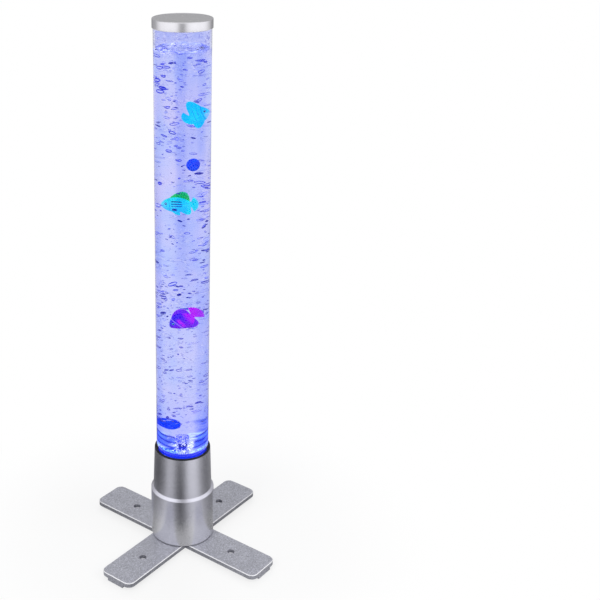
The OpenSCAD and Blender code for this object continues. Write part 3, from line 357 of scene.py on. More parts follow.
def makeSky():
    world = bpy.data.worlds.new("studio")
    scene.world = world
    world.use_nodes = True
    g = Graph(world.node_tree)
    strength = raysSeen(g) * (1 - studio["sky"]) + studio["sky"]
    light = g.node("ShaderNodeBackground", None, {"Color": (1, 1, 1), "Strength": strength})
    g.node("ShaderNodeOutputWorld", None, {"Surface": light})


# what the silver shells see: brightness by degrees from the front, right is positive
# onFloor and onWall say between which distances or heights, in metres, a dial takes over
reflections = dict(
    gain=1.6,
    onFloor=[("low", 0.12, 0.165), ("collar", 0.19, 0.28)],
    onWall=[
        ("legs", 0.05, 0.1), ("middle", 0.38, 0.48), ("upper", 0.66, 0.76), ("cap", 0.87, 0.915),
        ("top", 1.0, 1.05),
    ],
    near=[
        (-180, 0.4), (-115, 0.28), (-92, 0.3), (-78, 0.46), (-64, 0.6), (-53, 0.7), (-40, 0.74),
        (-28, 0.56), (-18, 0.4), (-9, 0.35), (-1, 0.35), (7, 0.36), (16, 0.4), (26, 0.5),
        (38, 0.66), (50, 0.7), (60, 0.56), (72, 0.38), (87, 0.2), (106, 0.25), (180, 0.4),
    ],
    low=[
        (-180, 0.5), (-124, 0.2), (-101, 0.3), (-85, 0.43), (-72, 0.54), (-60, 0.72), (-49, 0.86),
        (-39, 0.8), (-29, 0.5), (-20, 0.22), (-11, 0.04), (-2, 0.02), (8, 0.16), (17, 0.42),
        (26, 0.6), (36, 0.78), (46, 0.86), (56, 0.76), (68, 0.54), (80, 0.38), (95, 0.28),
        (115, 0.2), (180, 0.5),
    ],
    collar=[
        (-180, 0.5), (-138, 0.14), (-109, 0.0), (-90, 0.03), (-74, 0.13), (-60, 0.42),
        (-48, 0.58), (-36, 0.5), (-25, 0.2), (-14, 0.0), (-3, 0.0), (7, 0.2), (18, 0.64),
        (29, 0.84), (42, 0.88), (54, 0.75), (67, 0.44), (82, 0.2), (101, 0.12), (128, 0.22),
        (180, 0.5),
    ],
    legs=[
        (-180, 0.7), (-150, 0.72), (-120, 0.6), (-90, 1.25), (90, 1.25), (120, 0.6), (150, 0.72),
        (180, 0.7),
    ],
    middle=[
        (-180, 0.78), (-150, 0.76), (-125, 0.3), (-100, 0.5), (-75, 1.55), (-28, 1.55),
        (-12, 0.4), (8, 0.4), (26, 1.55), (75, 1.55), (100, 0.5), (125, 0.3), (150, 0.76),
        (180, 0.78),
    ],
    upper=[
        (-180, 1.0), (-140, 1.0), (-110, 0.6), (-70, 0.3), (70, 0.3), (110, 0.6), (140, 1.0),
        (180, 1.0),
    ],
    cap=[
        (-180, 0.3), (-137, 0.34), (-111, 0.44), (-93, 0.9), (-77, 1.12), (-60, 1.18), (-28, 1.2),
        (-18, 1.0), (-7, 0.4), (4, 0.36), (15, 0.9), (26, 1.16), (40, 1.22), (74, 1.18),
        (89, 1.1), (107, 0.75), (131, 0.28), (180, 0.3),
    ],
    top=[
        (-180, 0.42), (-120, 0.44), (-60, 0.9), (60, 0.9), (120, 0.44), (180, 0.42),
    ],
)


def reflectionWall():  # soft boxes and flags all round the lamp, which only gloss sees
    finish, g = newFinish("reflectionWall")
    front, gain = view["yaw"], reflections["gain"]
    x, y, z = g.where()
    away = hypot(x, y)
    ahead = (x * -math.sin(front) + y * -math.cos(front)) / away
    aside = (x * math.cos(front) + y * -math.sin(front)) / away
    turn = ahead.maths("ARCTAN2", aside, ahead) / (2 * math.pi) + 0.5

    def dial(name):
        stops = [((turned + 180) / 360, (value / gain,) * 3) for turned, value in reflections[name]]
        return g.node("ShaderNodeValToRGB", {"stops": stops}, {"Fac": turn})

    card = dial("near")
    for ruler, steps in ((away, reflections["onFloor"]), (z, reflections["onWall"])):
        for name, low, high in steps:
            card = g.blend(ruler.ramp(low, high), card, dial(name))
    g.close(g.node("ShaderNodeEmission", None, {"Color": card, "Strength": gain}))
    r, hub, sides = studio["wallRadius"], studio["wallHub"], studio["wallSides"]
    foot, tall = studio["wallFoot"], studio["wallHeight"]
    points = [(c * r, s * r, h) for h in (foot, tall) for c, s in circle(sides)]
    points += [(c * hub, s * hub, foot) for c, s in circle(sides)]
    faces = []
    for k in range(sides):
        n, top, inner = (k + 1) % sides, sides, 2 * sides
        faces += [(k, k + top, n + top, n), (k, n, n + inner, k + inner)]
    wall = meshPiece("reflectionWall", points, faces, finish, 0)
    wall.visible_camera = wall.visible_diffuse = wall.visible_transmission = False
    wall.visible_volume_scatter = wall.visible_shadow = False


def softbox(name, place, aim, size, power):
    data = bpy.data.lights.new(name, "AREA")
    data.shape, data.size, data.size_y, data.energy = "RECTANGLE", size[0], size[1], power
    lamp = newPiece(name, data)
    lamp.location = place
    lamp.rotation_euler = (Vector(aim) - Vector(place)).to_track_quat("-Z", "Y").to_euler()
    lamp.visible_camera = lamp.visible_glossy = lamp.visible_transmission = False


def makeCamera():
    data = bpy.data.cameras.new("camera")
    side, away, yaw = view["side"], view["distance"], view["yaw"]
    data.sensor_width = view["sensor"]
    data.lens = view["focal"] * view["sensor"] / side
    data.shift_x, data.shift_y = (side / 2 - view["left"]) / side, (view["up"] - side / 2) / side
    camera = newPiece("camera", data)
    camera.location = (-away * math.sin(yaw), -away * math.cos(yaw), view["height"])
    camera.rotation_euler = (math.pi / 2 - view["pitch"], 0, -yaw)
    scene.camera = camera


makeFloor()
makeSky()
reflectionWall()
for lampName, lamp in lamps.items():
    softbox(lampName, **lamp)
makeCamera()
print("studio made")


# moulded, painted and metal parts that keep their CAD mesh
capPaint = dict(
    colour=(226, 225, 231), rough=0.2, spread=0.03, metal=0.9, mottle=0.015, cloud=16, grain=0.4,
    depth=0.008,
)
# the foot of this paint is paled with painted light
silverPaint = dict(
    colour=(203, 203, 215), rough=0.27, spread=0.04, metal=0.88, mottle=0.025, cloud=22, grain=0.45,
    depth=0.014, fleck=0.3, sparkle=0.12, brushed=0.6, paintedLightShare=0.62,
)
# side and edge set the shares of painted shade on the sides and of a painted highlight on the top
# bevel
legPaint = dict(
    colour=(170, 171, 181), rough=0.44, spread=0.08, metal=0.55, mottle=0.05, cloud=24, grain=1.1,
    depth=0.1, fleck=1.25, sparkle=0.55, side=0.32, edge=0.8,
)
plainFinishes = {
    "black_rubber": dict(colour=(26, 26, 30), rough=0.7, mottle=0.2, grain=0.7),
    "soft_ring": dict(colour=(198, 200, 206), rough=0.6, mottle=0.06, grain=1.2, depth=0.03),
    "white_plastic": dict(colour=(226, 227, 230), rough=0.45, mottle=0.03, grain=0.8, depth=0.03),
    "valve_cap_plastic": dict(
        colour=(176, 196, 222), rough=0.3, mottle=0.05, grain=0.8, depth=0.02, coat=0.4
    ),
    "flap_rubber": dict(colour=(196, 84, 60), rough=0.6, mottle=0.08, grain=0.7, depth=0.03),
    "screw_steel": dict(
        colour=(236, 236, 240), rough=0.3, metal=0.45, mottle=0.06, grain=0.5, depth=0.02
    ),
    "dark_plastic": dict(colour=(38, 38, 42), rough=0.5, mottle=0.1, grain=0.6, depth=0.06),
    "white_board": dict(
        colour=(232, 233, 230), rough=0.35, mottle=0.04, grain=0.5, depth=0.02, coat=0.4
    ),
    "core_steel": dict(colour=(150, 151, 154), rough=0.38, metal=1.0, grain=0.5, depth=0.04),
    "copper_wire": dict(
        colour=(186, 110, 60), rough=0.3, metal=1.0, mottle=0.15, grain=0.35, depth=0.06
    ),
    "green_board": dict(colour=(28, 98, 54), rough=0.35, grain=0.5, depth=0.02, coat=0.5),
    "board_parts": dict(colour=(40, 41, 44), rough=0.45, mottle=0.15, grain=0.5, depth=0.03),
    "red_wire": dict(colour=(178, 30, 28), rough=0.4, mottle=0.08, grain=0.6, depth=0.02),
    "yellow_wire": dict(colour=(222, 178, 34), rough=0.4, mottle=0.08, grain=0.6, depth=0.02),
}
slotNodes = {}
for part in frame["record"]["subparts"]:
    slotNodes.setdefault(part["material_slot"], []).append(part["node"])
for slotName, look in plainFinishes.items():
    dress(mouldedFinish(slotName, look), *slotNodes[slotName])
dress(mouldedFinish("silverPaint", silverPaint), "tube_collar", "base_housing")
dress(mouldedFinish("legPaint", legPaint), *slotNodes["leg_plastic"])
print("carried-over nodes dressed")

# cap
capLook = dict(
    profile=[
        (0, 1029.6), (49.6, 1029.6), (50, 1030), (51.2, 1030), (52, 1029.2), (52, 1014.3),
        (51.2, 1013.5), (50.3, 1013.5), (50.3, 1027), (46.4, 1027), (46.4, 1019), (44.4, 1019),
        (44.4, 1027), (0, 1027),
    ],
    edge=0.3,
)
capFinish = mouldedFinish("capSilver", capPaint)
cap = lathe("capShell", capLook["profile"], capFinish, radius=capLook["edge"])
keep(cap, "cap", "silver_plastic", "top_cap")
print("cap made")


# clear tube, lit floor plate, stone, hoses and diodes
clearBase = dict(ripple=30.0, depth=0.02, gloss=0.5, clear=1.0)


def clearFinish(name, given, body=None, glow=None):
    look = {**clearBase, **given}
    material, g = newFinish(name)
    sockets = {
        "Base Color": body(g) if body else shade(*look["colour"]),
        "Roughness": g.noise(4.0).ramp(0.3, 0.7, (look["rough"], look["rough"] + 0.012)),
        "IOR": look["ior"],
        "Specular Tint": (look["gloss"],) * 3,
        "Transmission Weight": look["clear"],
        "Normal": g.bump(g.noise(look["ripple"]), look["depth"], 0.4),
    }
    if glow:
        sockets.update({"Emission Color": glow(g), "Emission Strength": 1.0})
    pale = g.node("ShaderNodeBsdfTransparent", None, {"Color": shade(*look["light"])})
    lampRays = g.node("ShaderNodeLightPath", out="Is Shadow Ray")
    glass = g.principled(sockets)
    g.close(g.node("ShaderNodeMixShader", None, {0: lampRays, 1: glass, 2: pale}))
    return material


tubeLook = dict(
    profile=[(50, 122), (50, 1024), (47, 1024), (47, 122)], edge=0.5,
    colour=(244, 245, 255), light=(250, 250, 255), ior=1.49, rough=0.004, ripple=45.0, depth=0.05,
    gloss=0.28, misty=(206, 212, 250), mistLight=(232, 234, 255), drop=(96, 104, 214),
    rim=(92, 78, 196), mistFrom=0.976, mistTo=0.984,
)


def tubeTint(g):  # clear, with a blue mist and run marks above the water, and a painted dark outline where it is seen edge-on
    cloud = g.noise(18.0, 3.0, 0.6, (1, 1, 0.7))
    runs = abs(g.noise(9.0, 2.0, 0.5, (1, 1, 1.5)) - 0.5).ramp(0.05, 0.015) * cloud.ramp(0.45, 0.6)
    damp = g.layers(
        tubeLook["misty"],
        (cloud.ramp(0.35, 0.65), tubeLook["mistLight"]),
        (runs * 0.6, tubeLook["drop"]),
    )
    # painted shade: a dark violet outline where the wall is seen edge-on
    outlineShade = g.facing().ramp(0.72, 0.87) * 0.85
    clear = g.layers(tubeLook["colour"], (outlineShade, tubeLook["rim"]))
    return g.blend(g.where()[2].ramp(tubeLook["mistFrom"], tubeLook["mistTo"]), clear, damp)


acrylic = clearFinish("clearAcrylic", tubeLook, tubeTint)
tube = lathe("clearTube", tubeLook["profile"], acrylic, radius=tubeLook["edge"])
keep(tube, "base", "clear_acrylic", "acrylic_tube")
floorLook = dict(
    light=(200, 210, 255), ior=1.49, rough=0.1, clear=0.35,
    deep=(22, 46, 206), spark=(196, 226, 255), bore=0.047, before=0.008, reach=0.013,
)


def litFloor(g):  # light of the ring of diodes as it comes up through the plate
    x, y = g.where()[:2]
    out = hypot(x, y) / floorLook["bore"]
    ahead = y + floorLook["before"]  # the glitter lies just before the stone
    near = (x * x + ahead * ahead) / (floorLook["reach"] ** 2)
    glitter = g.cells(4.2).ramp(0.46, 0.2) * near.ramp(1.1, 0.5)
    fine = g.noise(2.2, 3.0, 0.6).ramp(0.48, 0.6) * near.ramp(1.2, 0.4)
    rimLight = out.ramp(0.8, 0.88) * out.ramp(0.99, 0.94) * g.noise(5.0).ramp(0.4, 0.56)
    share = glitter * 0.7 + fine * 0.4 + rimLight * 0.75
    return g.layers(floorLook["deep"], (share, floorLook["spark"]))


def floorGlow(g):
    return g.blend(0.5, litFloor(g), (0, 0, 0))


dress(clearFinish("litFloorPlate", floorLook, litFloor, floorGlow), "tube_floor")


def sparkleFinish(name, look):  # porous stone, lit through
    material, g = newFinish(name)
    pores = g.cells(look["pore"]).ramp(0.15, 0.6)
    grit = g.noise(look["pore"] * 2.5, 3.0, 0.6).ramp(0.4, 0.62)
    g.close(g.principled({
        "Base Color": g.layers(look["dark"], (grit, look["colour"])),
        "Roughness": pores.ramp(0, 1, (0.95, 0.75)),
        "Emission Color": g.layers(look["glowLow"], (grit * pores, look["glowHigh"])),
        "Emission Strength": 1.0,
        "Normal": g.bump(pores, 0.5, 0.9),
    }))
    return material


stoneLook = dict(
    pore=1.1, colour=(235, 238, 250), dark=(80, 90, 200), glowLow=(60, 70, 170),
    glowHigh=(205, 210, 245),
)
diodeLook = dict(
    pore=0.6, colour=(250, 244, 205), dark=(226, 206, 120), glowLow=(40, 60, 200),
    glowHigh=(150, 180, 255),
)
nozzleLook = dict(colour=(34, 44, 170), rough=0.35, mottle=0.1, depth=0.03)
hoseLook = dict(colour=(214, 232, 232), light=(235, 245, 245), ior=1.45, rough=0.12, clear=0.75)
dress(sparkleFinish("airStone", stoneLook), "air_stone")
dress(mouldedFinish("nozzlePlastic", nozzleLook), "air_nozzle")
dress(clearFinish("clearHose", hoseLook), *slotNodes["clear_hose"])
dress(sparkleFinish("diodeCover", diodeLook), *slotNodes["diode"])
print("tube made")

# water
# the colours below include painted reflections of the lamps in streaks, painted light and shade
# thrown by ripples, painted diode light at the foot, and a painted reflection on the upper face
waterLook = dict(
    radius=47.04, low=217.05, high=980.0, sides=192, hoops=56, rimRise=0.7, rimReach=2.0,
    light=(236, 236, 255), ior=1.333, rough=0.0, ripple=26.0, depth=0.25, gloss=0.03,
    pink=(224, 220, 252), blue=(200, 214, 255), reflectionStreak=(146, 164, 250), deep=(140, 170, 255),
    rippleShade=(58, 72, 214), glint=(250, 250, 255), paintedBluePool=(30, 66, 222), ring=(6, 14, 110),
    surface=(240, 242, 255), surfaceLine=(40, 54, 196), crest=(0.968, 0.974),
    rings=[(0.2295, 0.0024), (0.2405, 0.0034), (0.2512, 0.0034)],  # height, half width
    reflectionStreaks=[  # place and width in degrees, strength, then the heights between which it comes in
        (-99, 7, 0.8, 0.55, 0.75), (-42, 13, 0.9, 0.62, 0.5), (-160, 8, 0.7, 0.72, 0.6),
        (-52, 8, 0.7, 0.6, 0.8), (-20, 12, 0.95, 0.56, 0.46), (25, 12, 0.6, 0.2, 0.3),
        (78, 9, 0.6, 0.4, 0.6), (130, 14, 0.7, 0.2, 0.3),
    ],
    waves=[  # height in mm, turn along x and y for each mm, and where it starts
        (0.55, 0.31, 0.12, 0.0), (0.45, -0.17, 0.43, 1.3), (0.22, 0.62, 0.58, 0.4),
        (0.12, 0.83, -0.8, 2.1), (0.06, 1.25, 0.5, 0.7),
    ],
)


def surfaceShare(g, z):  # the water's upper face
    return g.upright().ramp(0.5, 0.9) * z.ramp(*waterLook["crest"])


def waterTint(g):
    x, y, z = g.where()
    cloud = g.noise(62.0, 3.0, 0.55, (1, 1, 0.6))
    wander = g.noise(120.0, 2.0, 0.5, (0.3, 0.3, 1)).ramp(0.3, 0.7, (-0.01, 0.01))
    coats = [(cloud.ramp(0.36, 0.64), waterLook["blue"])]
    # painted reflections of the lamps, as upright streaks
    for centre, width, strength, off, full in waterLook["reflectionStreaks"]:
        a = math.radians(centre)
        along = (x * math.cos(a) + y * math.sin(a)) / (waterLook["radius"] * mm) + wander
        edge, middle = (math.cos(math.radians(width * share)) for share in (2.2, 0.2))
        mask = along.ramp(edge, middle) * strength * cloud.ramp(0.2, 0.6, (0.5, 1.0))
        coats.append((mask * z.ramp(off, full), waterLook["reflectionStreak"]))
    swirl = g.noise(13.0, 2.0, 0.45, (1, 1, 2.3))  # painted light and shade: bent bright and dark lines, as ripples throw them
    patch = g.noise(34.0, 2.0, 0.5, (1, 1, 1.4), (0.3, 0.1, 0.2)).ramp(0.46, 0.6)
    crest = z.ramp(*waterLook["crest"])  # busier just under the surface
    wavelet = g.noise(9.0, 2.0, 0.5, (1, 1, 2.6), (0.1, 0.5, 0.3))
    wide = g.noise(16.0, 2.0, 0.5, (1, 1, 1.6), (0.7, 0.2, 0.4))
    beside = abs(x + (wide - 0.5) * 0.01).ramp(0.012, 0.021)  # clear in the middle, at the stone
    foot = z.ramp(0.255, 0.25) * z.ramp(0.2215, 0.2285) * beside
    coats += [
        (abs(swirl - 0.545).ramp(0.022, 0.006) * patch * 0.6, waterLook["glint"]),
        (abs(swirl - 0.5).ramp(0.03, 0.008) * patch * 0.45, waterLook["rippleShade"]),
        (abs(wavelet - 0.5).ramp(0.04, 0.01) * crest * 0.6, waterLook["rippleShade"]),
        # painted light of the diodes: bluer towards the foot, and pooled deep blue beside the stone
        (z.ramp(0.36, 0.25) * 0.25, waterLook["deep"]),
        (foot * wide.ramp(0.34, 0.46, (0.55, 0.95)), waterLook["paintedBluePool"]),
    ]
    for height, half in waterLook["rings"]:
        line = abs(z - height + (wide - 0.5) * 0.006).ramp(half, half * 0.35)
        line = line * y.ramp(0.01, -0.01, (0.25, 1.0)) * beside.ramp(0, 1, (0.35, 0.95))
        coats.append((line, waterLook["ring"]))
    # painted reflection: the upper face is painted near white, crossed by thin dark ripple lines
    surface = surfaceShare(g, z)
    ripple = g.noise(11.0, 2.0, 0.45, (1, 0.55, 1), (0.4, 0.2, 0.6))
    coats += [
        (surface * 0.85, waterLook["surface"]),
        (abs(ripple - 0.5).ramp(0.022, 0.006) * surface * 0.85, waterLook["surfaceLine"]),
    ]
    return g.layers(waterLook["pink"], *coats)


def waterGlow(g):  # lit from below, and bright at the foot and where the surface meets the wall
    x, y, z = g.where()
    dashes = g.noise(4.5, 2.0, 0.5, (1, 1, 1.6)).ramp(0.42, 0.56) * abs(x).ramp(0.006, 0.014)
    out = (x * x + y * y) / ((waterLook["radius"] * mm) ** 2)
    return g.layers(
        (0, 0, 0),
        (z.ramp(0.29, 0.225), (18, 28, 120)),
        (z.ramp(0.2165, 0.2185) * z.ramp(0.2255, 0.222) * dashes * 0.85, (150, 208, 255)),
        (surfaceShare(g, z) * out.ramp(0.35, 0.85), (132, 144, 228)),
    )


def waterColumn(look):
    def wave(x, y):
        return sum(tall * math.sin(x * p + y * q + start) for tall, p, q, start in look["waves"])

    radius, sides, hoops = look["radius"], look["sides"], look["hoops"] + 1
    points = [(radius * c, radius * s, look["low"]) for c, s in circle(sides)]
    for j in range(hoops):
        r = radius * (1 - j / hoops)
        rim = look["rimRise"] * math.exp((r - radius) / look["rimReach"])
        points += [
            (r * c, r * s, look["high"] + wave(r * c, r * s) + rim) for c, s in circle(sides)
        ]
    last, top = hoops * sides, len(points)
    points += [(0, 0, look["high"] + wave(0, 0)), (0, 0, look["low"])]
    faces = hoopFaces(hoops, sides)
    for k in range(sides):
        n = (k + 1) % sides
        faces += [(last + k, last + n, top), (k, top + 1, n)]
    finish = clearFinish("tintedWater", look, waterTint, waterGlow)
    piece = meshPiece("waterColumn", [Vector(p) * mm for p in points], faces, finish, 50)
    squareUp(piece)
    return piece


keep(waterColumn(waterLook), "base", None)
print("water made")


# bubbles, scattered by geometry nodes
def bubbleFinish(name, look):
    material, g = newFinish(name)
    tone = g.node("ShaderNodeAttribute", {"attribute_name": "tone"}, out="Fac")
    upright = g.upright()
    # painted shade: a dark outline, a darker underside and a faint dark top stand in for a bubble's
    # dark reflections; the pale film between is a painted highlight
    rim = g.facing().ramp(look["ring"], look["ring"] + 0.3)
    paintedOutline = rim + upright.ramp(-0.3, -0.8) * 0.8 + upright.ramp(0.75, 0.97) * 0.3
    paintedOutline = paintedOutline * tone * look["strength"]
    paintedOutline = paintedOutline.maths("MINIMUM", paintedOutline, 1.0)
    body = g.layers(look["pale"], (paintedOutline, look["dark"]))
    g.close(g.principled({
        "Base Color": body,
        "Roughness": 0.08,
        "IOR": 1.33,
        "Specular IOR Level": 0.2,
        "Alpha": paintedOutline * (1 - look["film"]) + look["film"],
        # painted light: the bubbles glow with their own colour
        "Emission Color": g.blend(0.7, (0, 0, 0), body),
        "Emission Strength": 1.0,
    }))
    return material


def bubbleSeed(finish, segments=10, rings=6):  # one low ball, shared by all
    points = [(0, 0, 1)]
    for i in range(1, rings):
        polar = math.pi * i / rings
        wide, z = math.sin(polar), math.cos(polar)
        points += [(wide * c, wide * s, z) for c, s in circle(segments)]
    points.append((0, 0, -1))
    last = len(points) - 1
    faces = [(0, 1 + k, 1 + (k + 1) % segments) for k in range(segments)]
    for i in range(rings - 2):
        a, b = 1 + i * segments, 1 + (i + 1) * segments
        for k in range(segments):
            n = (k + 1) % segments
            faces.append((a + k, b + k, b + n, a + n))
    low = last - segments
    faces += [(last, low + (k + 1) % segments, low + k) for k in range(segments)]
    return meshPiece("bubbleSeed", points, faces, finish, 180)


# where the floats drift, kept clear of bubbles, in metres; reach is a bubble's spread for its size
lanes = dict(
    wall=0.0468, reach=1.5,
    boxes=[  # left, right, near, far, low, high
        (-0.0006, 0.036, -0.0062, 0.015, 0.791, 0.9705),
        (-0.0309, 0.0215, -0.0154, 0.0068, 0.6155, 0.787),
        (-0.0188, 0.0278, -0.0162, 0.0067, 0.2655, 0.6015),
        (-0.002, 0.037, -0.047, 0.0, 0.848, 0.884),
        (-0.032, 0.021, -0.047, 0.0, 0.689, 0.723),
        (-0.02, 0.03, -0.047, 0.0, 0.458, 0.504),
    ],
    rounds=[  # x, y, radius, low, high
        (0.0137, -0.0315, 0.0117, 0.233, 0.9715), (-0.0095, 0.032, 0.0117, 0.22, 0.9725),
        (0, 0, 0.0095, 0.217, 0.2395),
    ],
)
bubbleInputs = dict(
    shape="Object", finish="Material", count="Int", low="Float", high="Float", inner="Float",
    outer="Float", smallest="Float", largest="Float", flatness="Float", evenness="Float",
    crowding="Float", pale="Float", seed="Int",
)


def bubbleTree(name):
    tree = bpy.data.node_groups.new(name, "GeometryNodeTree")
    face = tree.interface
    for title, kind in bubbleInputs.items():
        face.new_socket(title, in_out="INPUT", socket_type="NodeSocket" + kind)
    face.new_socket("bubbles", in_out="OUTPUT", socket_type="NodeSocketGeometry")
    g = Graph(tree)
    given = g.node("NodeGroupInput")
    take = {title: Wire(g, given.socket.node.outputs[title]) for title in bubbleInputs}

    def chance(low, high, step):
        sockets = {2: low, 3: high, 8: take["seed"] + step}
        return g.node("FunctionNodeRandomValue", {"data_type": "FLOAT"}, sockets, out=1)

    def vector(x, y, z):
        return g.node("ShaderNodeCombineXYZ", None, {0: x, 1: y, 2: z})

    def store(geometry, domain, title, value):
        settings = {"data_type": "FLOAT", "domain": domain}
        sockets = {"Geometry": geometry, "Name": title, "Value": value}
        return g.node("GeometryNodeStoreNamedAttribute", settings, sockets)

    turn = chance(0.0, 2 * math.pi, 1)
    share = chance(0.0, 1.0, 2)
    inner, outer = take["inner"] * take["inner"], take["outer"] * take["outer"]
    r = inner + share * (outer - inner)
    r = r.maths("SQRT", r)
    up = chance(0.0, 1.0, 3) ** take["crowding"]
    height = take["low"] + up * (take["high"] - take["low"])
    spot = vector(r * turn.maths("COSINE", turn), r * turn.maths("SINE", turn), height)
    cloud = g.node("GeometryNodePoints", None, {"Count": take["count"], "Position": spot})
    wide = chance(0.0, 1.0, 4) ** take["evenness"]
    girth = take["smallest"] + wide * (take["largest"] - take["smallest"])
    cloud = store(cloud, "POINT", "girth", girth)
    size = g.node("GeometryNodeInputNamedAttribute", {"data_type": "FLOAT"}, {"Name": "girth"})
    px, py, pz = (g.part(g.node("GeometryNodeInputPosition"), axis) for axis in range(3))
    reach = size * lanes["reach"]
    blocked = hypot(px, py) + reach > lanes["wall"]
    for left, right, near, far, low, high in lanes["boxes"]:
        across = (px + reach > left) * (px - reach < right)
        deep = (py + reach > near) * (py - reach < far)
        blocked = blocked + across * deep * (pz + reach > low) * (pz - reach < high)
    for cx, cy, radius, low, high in lanes["rounds"]:
        inside = hypot(px - cx, py - cy) - reach < radius
        blocked = blocked + inside * (pz + reach > low) * (pz - reach < high)
    sockets = {"Geometry": cloud, "Selection": blocked > 0.5}
    cloud = g.node("GeometryNodeDeleteGeometry", {"domain": "POINT"}, sockets)
    ball = g.node("GeometryNodeObjectInfo", None, {"Object": take["shape"]}, out="Geometry")
    tall = size * take["flatness"] * chance(0.7, 1.2, 7)
    scale = vector(size * chance(0.9, 1.6, 5), size * chance(0.8, 1.3, 6), tall)
    tilt = vector(chance(-0.4, 0.4, 8), chance(-0.4, 0.4, 9), chance(0.0, 6.28, 10))
    sockets = {"Points": cloud, "Instance": ball, "Rotation": tilt, "Scale": scale}
    grown = g.node("GeometryNodeInstanceOnPoints", None, sockets)
    tone = take["pale"] + chance(0.0, 1.0, 11) ** 1.3 * (1 - take["pale"])
    grown = store(grown, "INSTANCE", "tone", tone)
    whole = g.node("GeometryNodeRealizeInstances", None, {"Geometry": grown})
    sockets = {"Geometry": whole, "Material": take["finish"]}
    g.node("NodeGroupOutput", None, {"bubbles": g.node("GeometryNodeSetMaterial", None, sockets)})
    return tree


def scatter(name, tree, look):
    holder = newPiece(name + "Holder", bpy.data.meshes.new(name))
    modifier = holder.modifiers.new("bubbles", "NODES")
    modifier.node_group = tree
    for item in tree.interface.items_tree:
        if item.in_out == "INPUT":
            modifier[item.identifier] = look[item.name]
    graph = bpy.context.evaluated_depsgraph_get()
    mesh = bpy.data.meshes.new_from_object(
        holder.evaluated_get(graph), preserve_all_data_layers=True, depsgraph=graph
    )
    holder.modifiers.remove(modifier)
    bpy.data.objects.remove(holder)
    piece = newPiece(name, mesh)
    if not mesh.materials:
        mesh.materials.append(look["finish"])
    mesh.shade_smooth()
    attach(piece, "base")
    print(name, len(mesh.polygons), "faces")


# dark is the colour of the painted outline and underside shade, pale that of the painted film; the
# white bubbles' outline is a painted sparkle
films = dict(
    bubbleFilm=dict(dark=(10, 28, 184), pale=(214, 222, 255), film=0.05, strength=2.1, ring=0.3),
    fineBubbleFilm=dict(
        dark=(26, 28, 160), pale=(222, 222, 255), film=0.04, strength=1.7, ring=0.24
    ),
    whiteBubbleFilm=dict(
        dark=(255, 255, 255), pale=(240, 244, 255), film=0.35, strength=1.2, ring=0.36
    ),
    flatBubbleFilm=dict(
        dark=(4, 14, 142), pale=(200, 214, 255), film=0.05, strength=3.2, ring=0.02
    ),
    foamFilm=dict(dark=(60, 76, 214), pale=(250, 252, 255), film=0.3, strength=0.7, ring=0.36),
)
fields = dict(
    risingBubbles=dict(
        finish="bubbleFilm", count=1150, low=0.45, high=0.968, inner=0.003, outer=0.0455,
        smallest=0.0012, largest=0.0062, flatness=0.46, evenness=2.3, crowding=1.0, pale=0.12,
        seed=3,
    ),
    flatBubbles=dict(
        finish="flatBubbleFilm", count=250, low=0.47, high=0.968, inner=0.004, outer=0.0452,
        smallest=0.001, largest=0.0046, flatness=0.34, evenness=1.7, crowding=1.0, pale=0.1,
        seed=87,
    ),
    fineBubbles=dict(
        finish="fineBubbleFilm", count=900, low=0.262, high=0.56, inner=0.002, outer=0.0455,
        smallest=0.0009, largest=0.0038, flatness=0.42, evenness=2.0, crowding=1.1, pale=0.2,
        seed=11,
    ),
    surfaceFoam=dict(
        finish="foamFilm", count=60, low=0.974, high=0.981, inner=0.012, outer=0.0445,
        smallest=0.0014, largest=0.0048, flatness=0.55, evenness=1.4, crowding=1.0, pale=0.4,
        seed=41,
    ),
    splashDrops=dict(
        finish="bubbleFilm", count=60, low=0.984, high=1.012, inner=0.0442, outer=0.0458,
        smallest=0.0007, largest=0.0026, flatness=0.7, evenness=1.4, crowding=1.4, pale=0.5,
        seed=67,
    ),
    sparkBubbles=dict(
        finish="whiteBubbleFilm", count=170, low=0.2195, high=0.23, inner=0.0075, outer=0.0145,
        smallest=0.0006, largest=0.0021, flatness=0.75, evenness=1.6, crowding=1.7, pale=0.5,
        seed=53,
    ),
)
finishes = {filmName: bubbleFinish(filmName, look) for filmName, look in films.items()}
seedShape = bubbleSeed(finishes["bubbleFilm"])
bubbles = bubbleTree("bubbleField")
for fieldName, field in fields.items():
    look = {**field, "shape": seedShape, "finish": finishes[field["finish"]]}
    scatter(fieldName, bubbles, look)
bpy.data.objects.remove(seedShape)
print("bubbles made")


# fish and balls
def bell(t, peak, fullness):  # 0 at both ends, 1 at peak
    if t <= 0 or t >= 1:
        return 0.0
    return math.sin(math.pi * t ** (math.log(0.5) / math.log(peak))) ** fullness


def backZ(t, f):
    return f["rise"] * bell(t, f["peak"], 0.72) + f["root"] * t * t + 1.2 * (1 - t)


def bellyZ(t, f):
    return -f["drop"] * bell(t, f["peak"] + 0.04, 0.72) - f["root"] * t * t - (1 - t)


def flankY(t, f):
    return f["halfWidth"] * bell(t, 0.34, 0.62) + 0.9


class Pattern:  # points, faces, map and finish of one float, in mm, nose to -X
    def __init__(self):
        self.points, self.faces, self.map, self.slots = [], [], [], []

    def add(self, points, faces, spots, slot):
        start = len(self.points)
        self.points += points
        self.map += spots
        self.faces += [[v + start for v in face] for face in faces]
        self.slots += [slot] * len(faces)


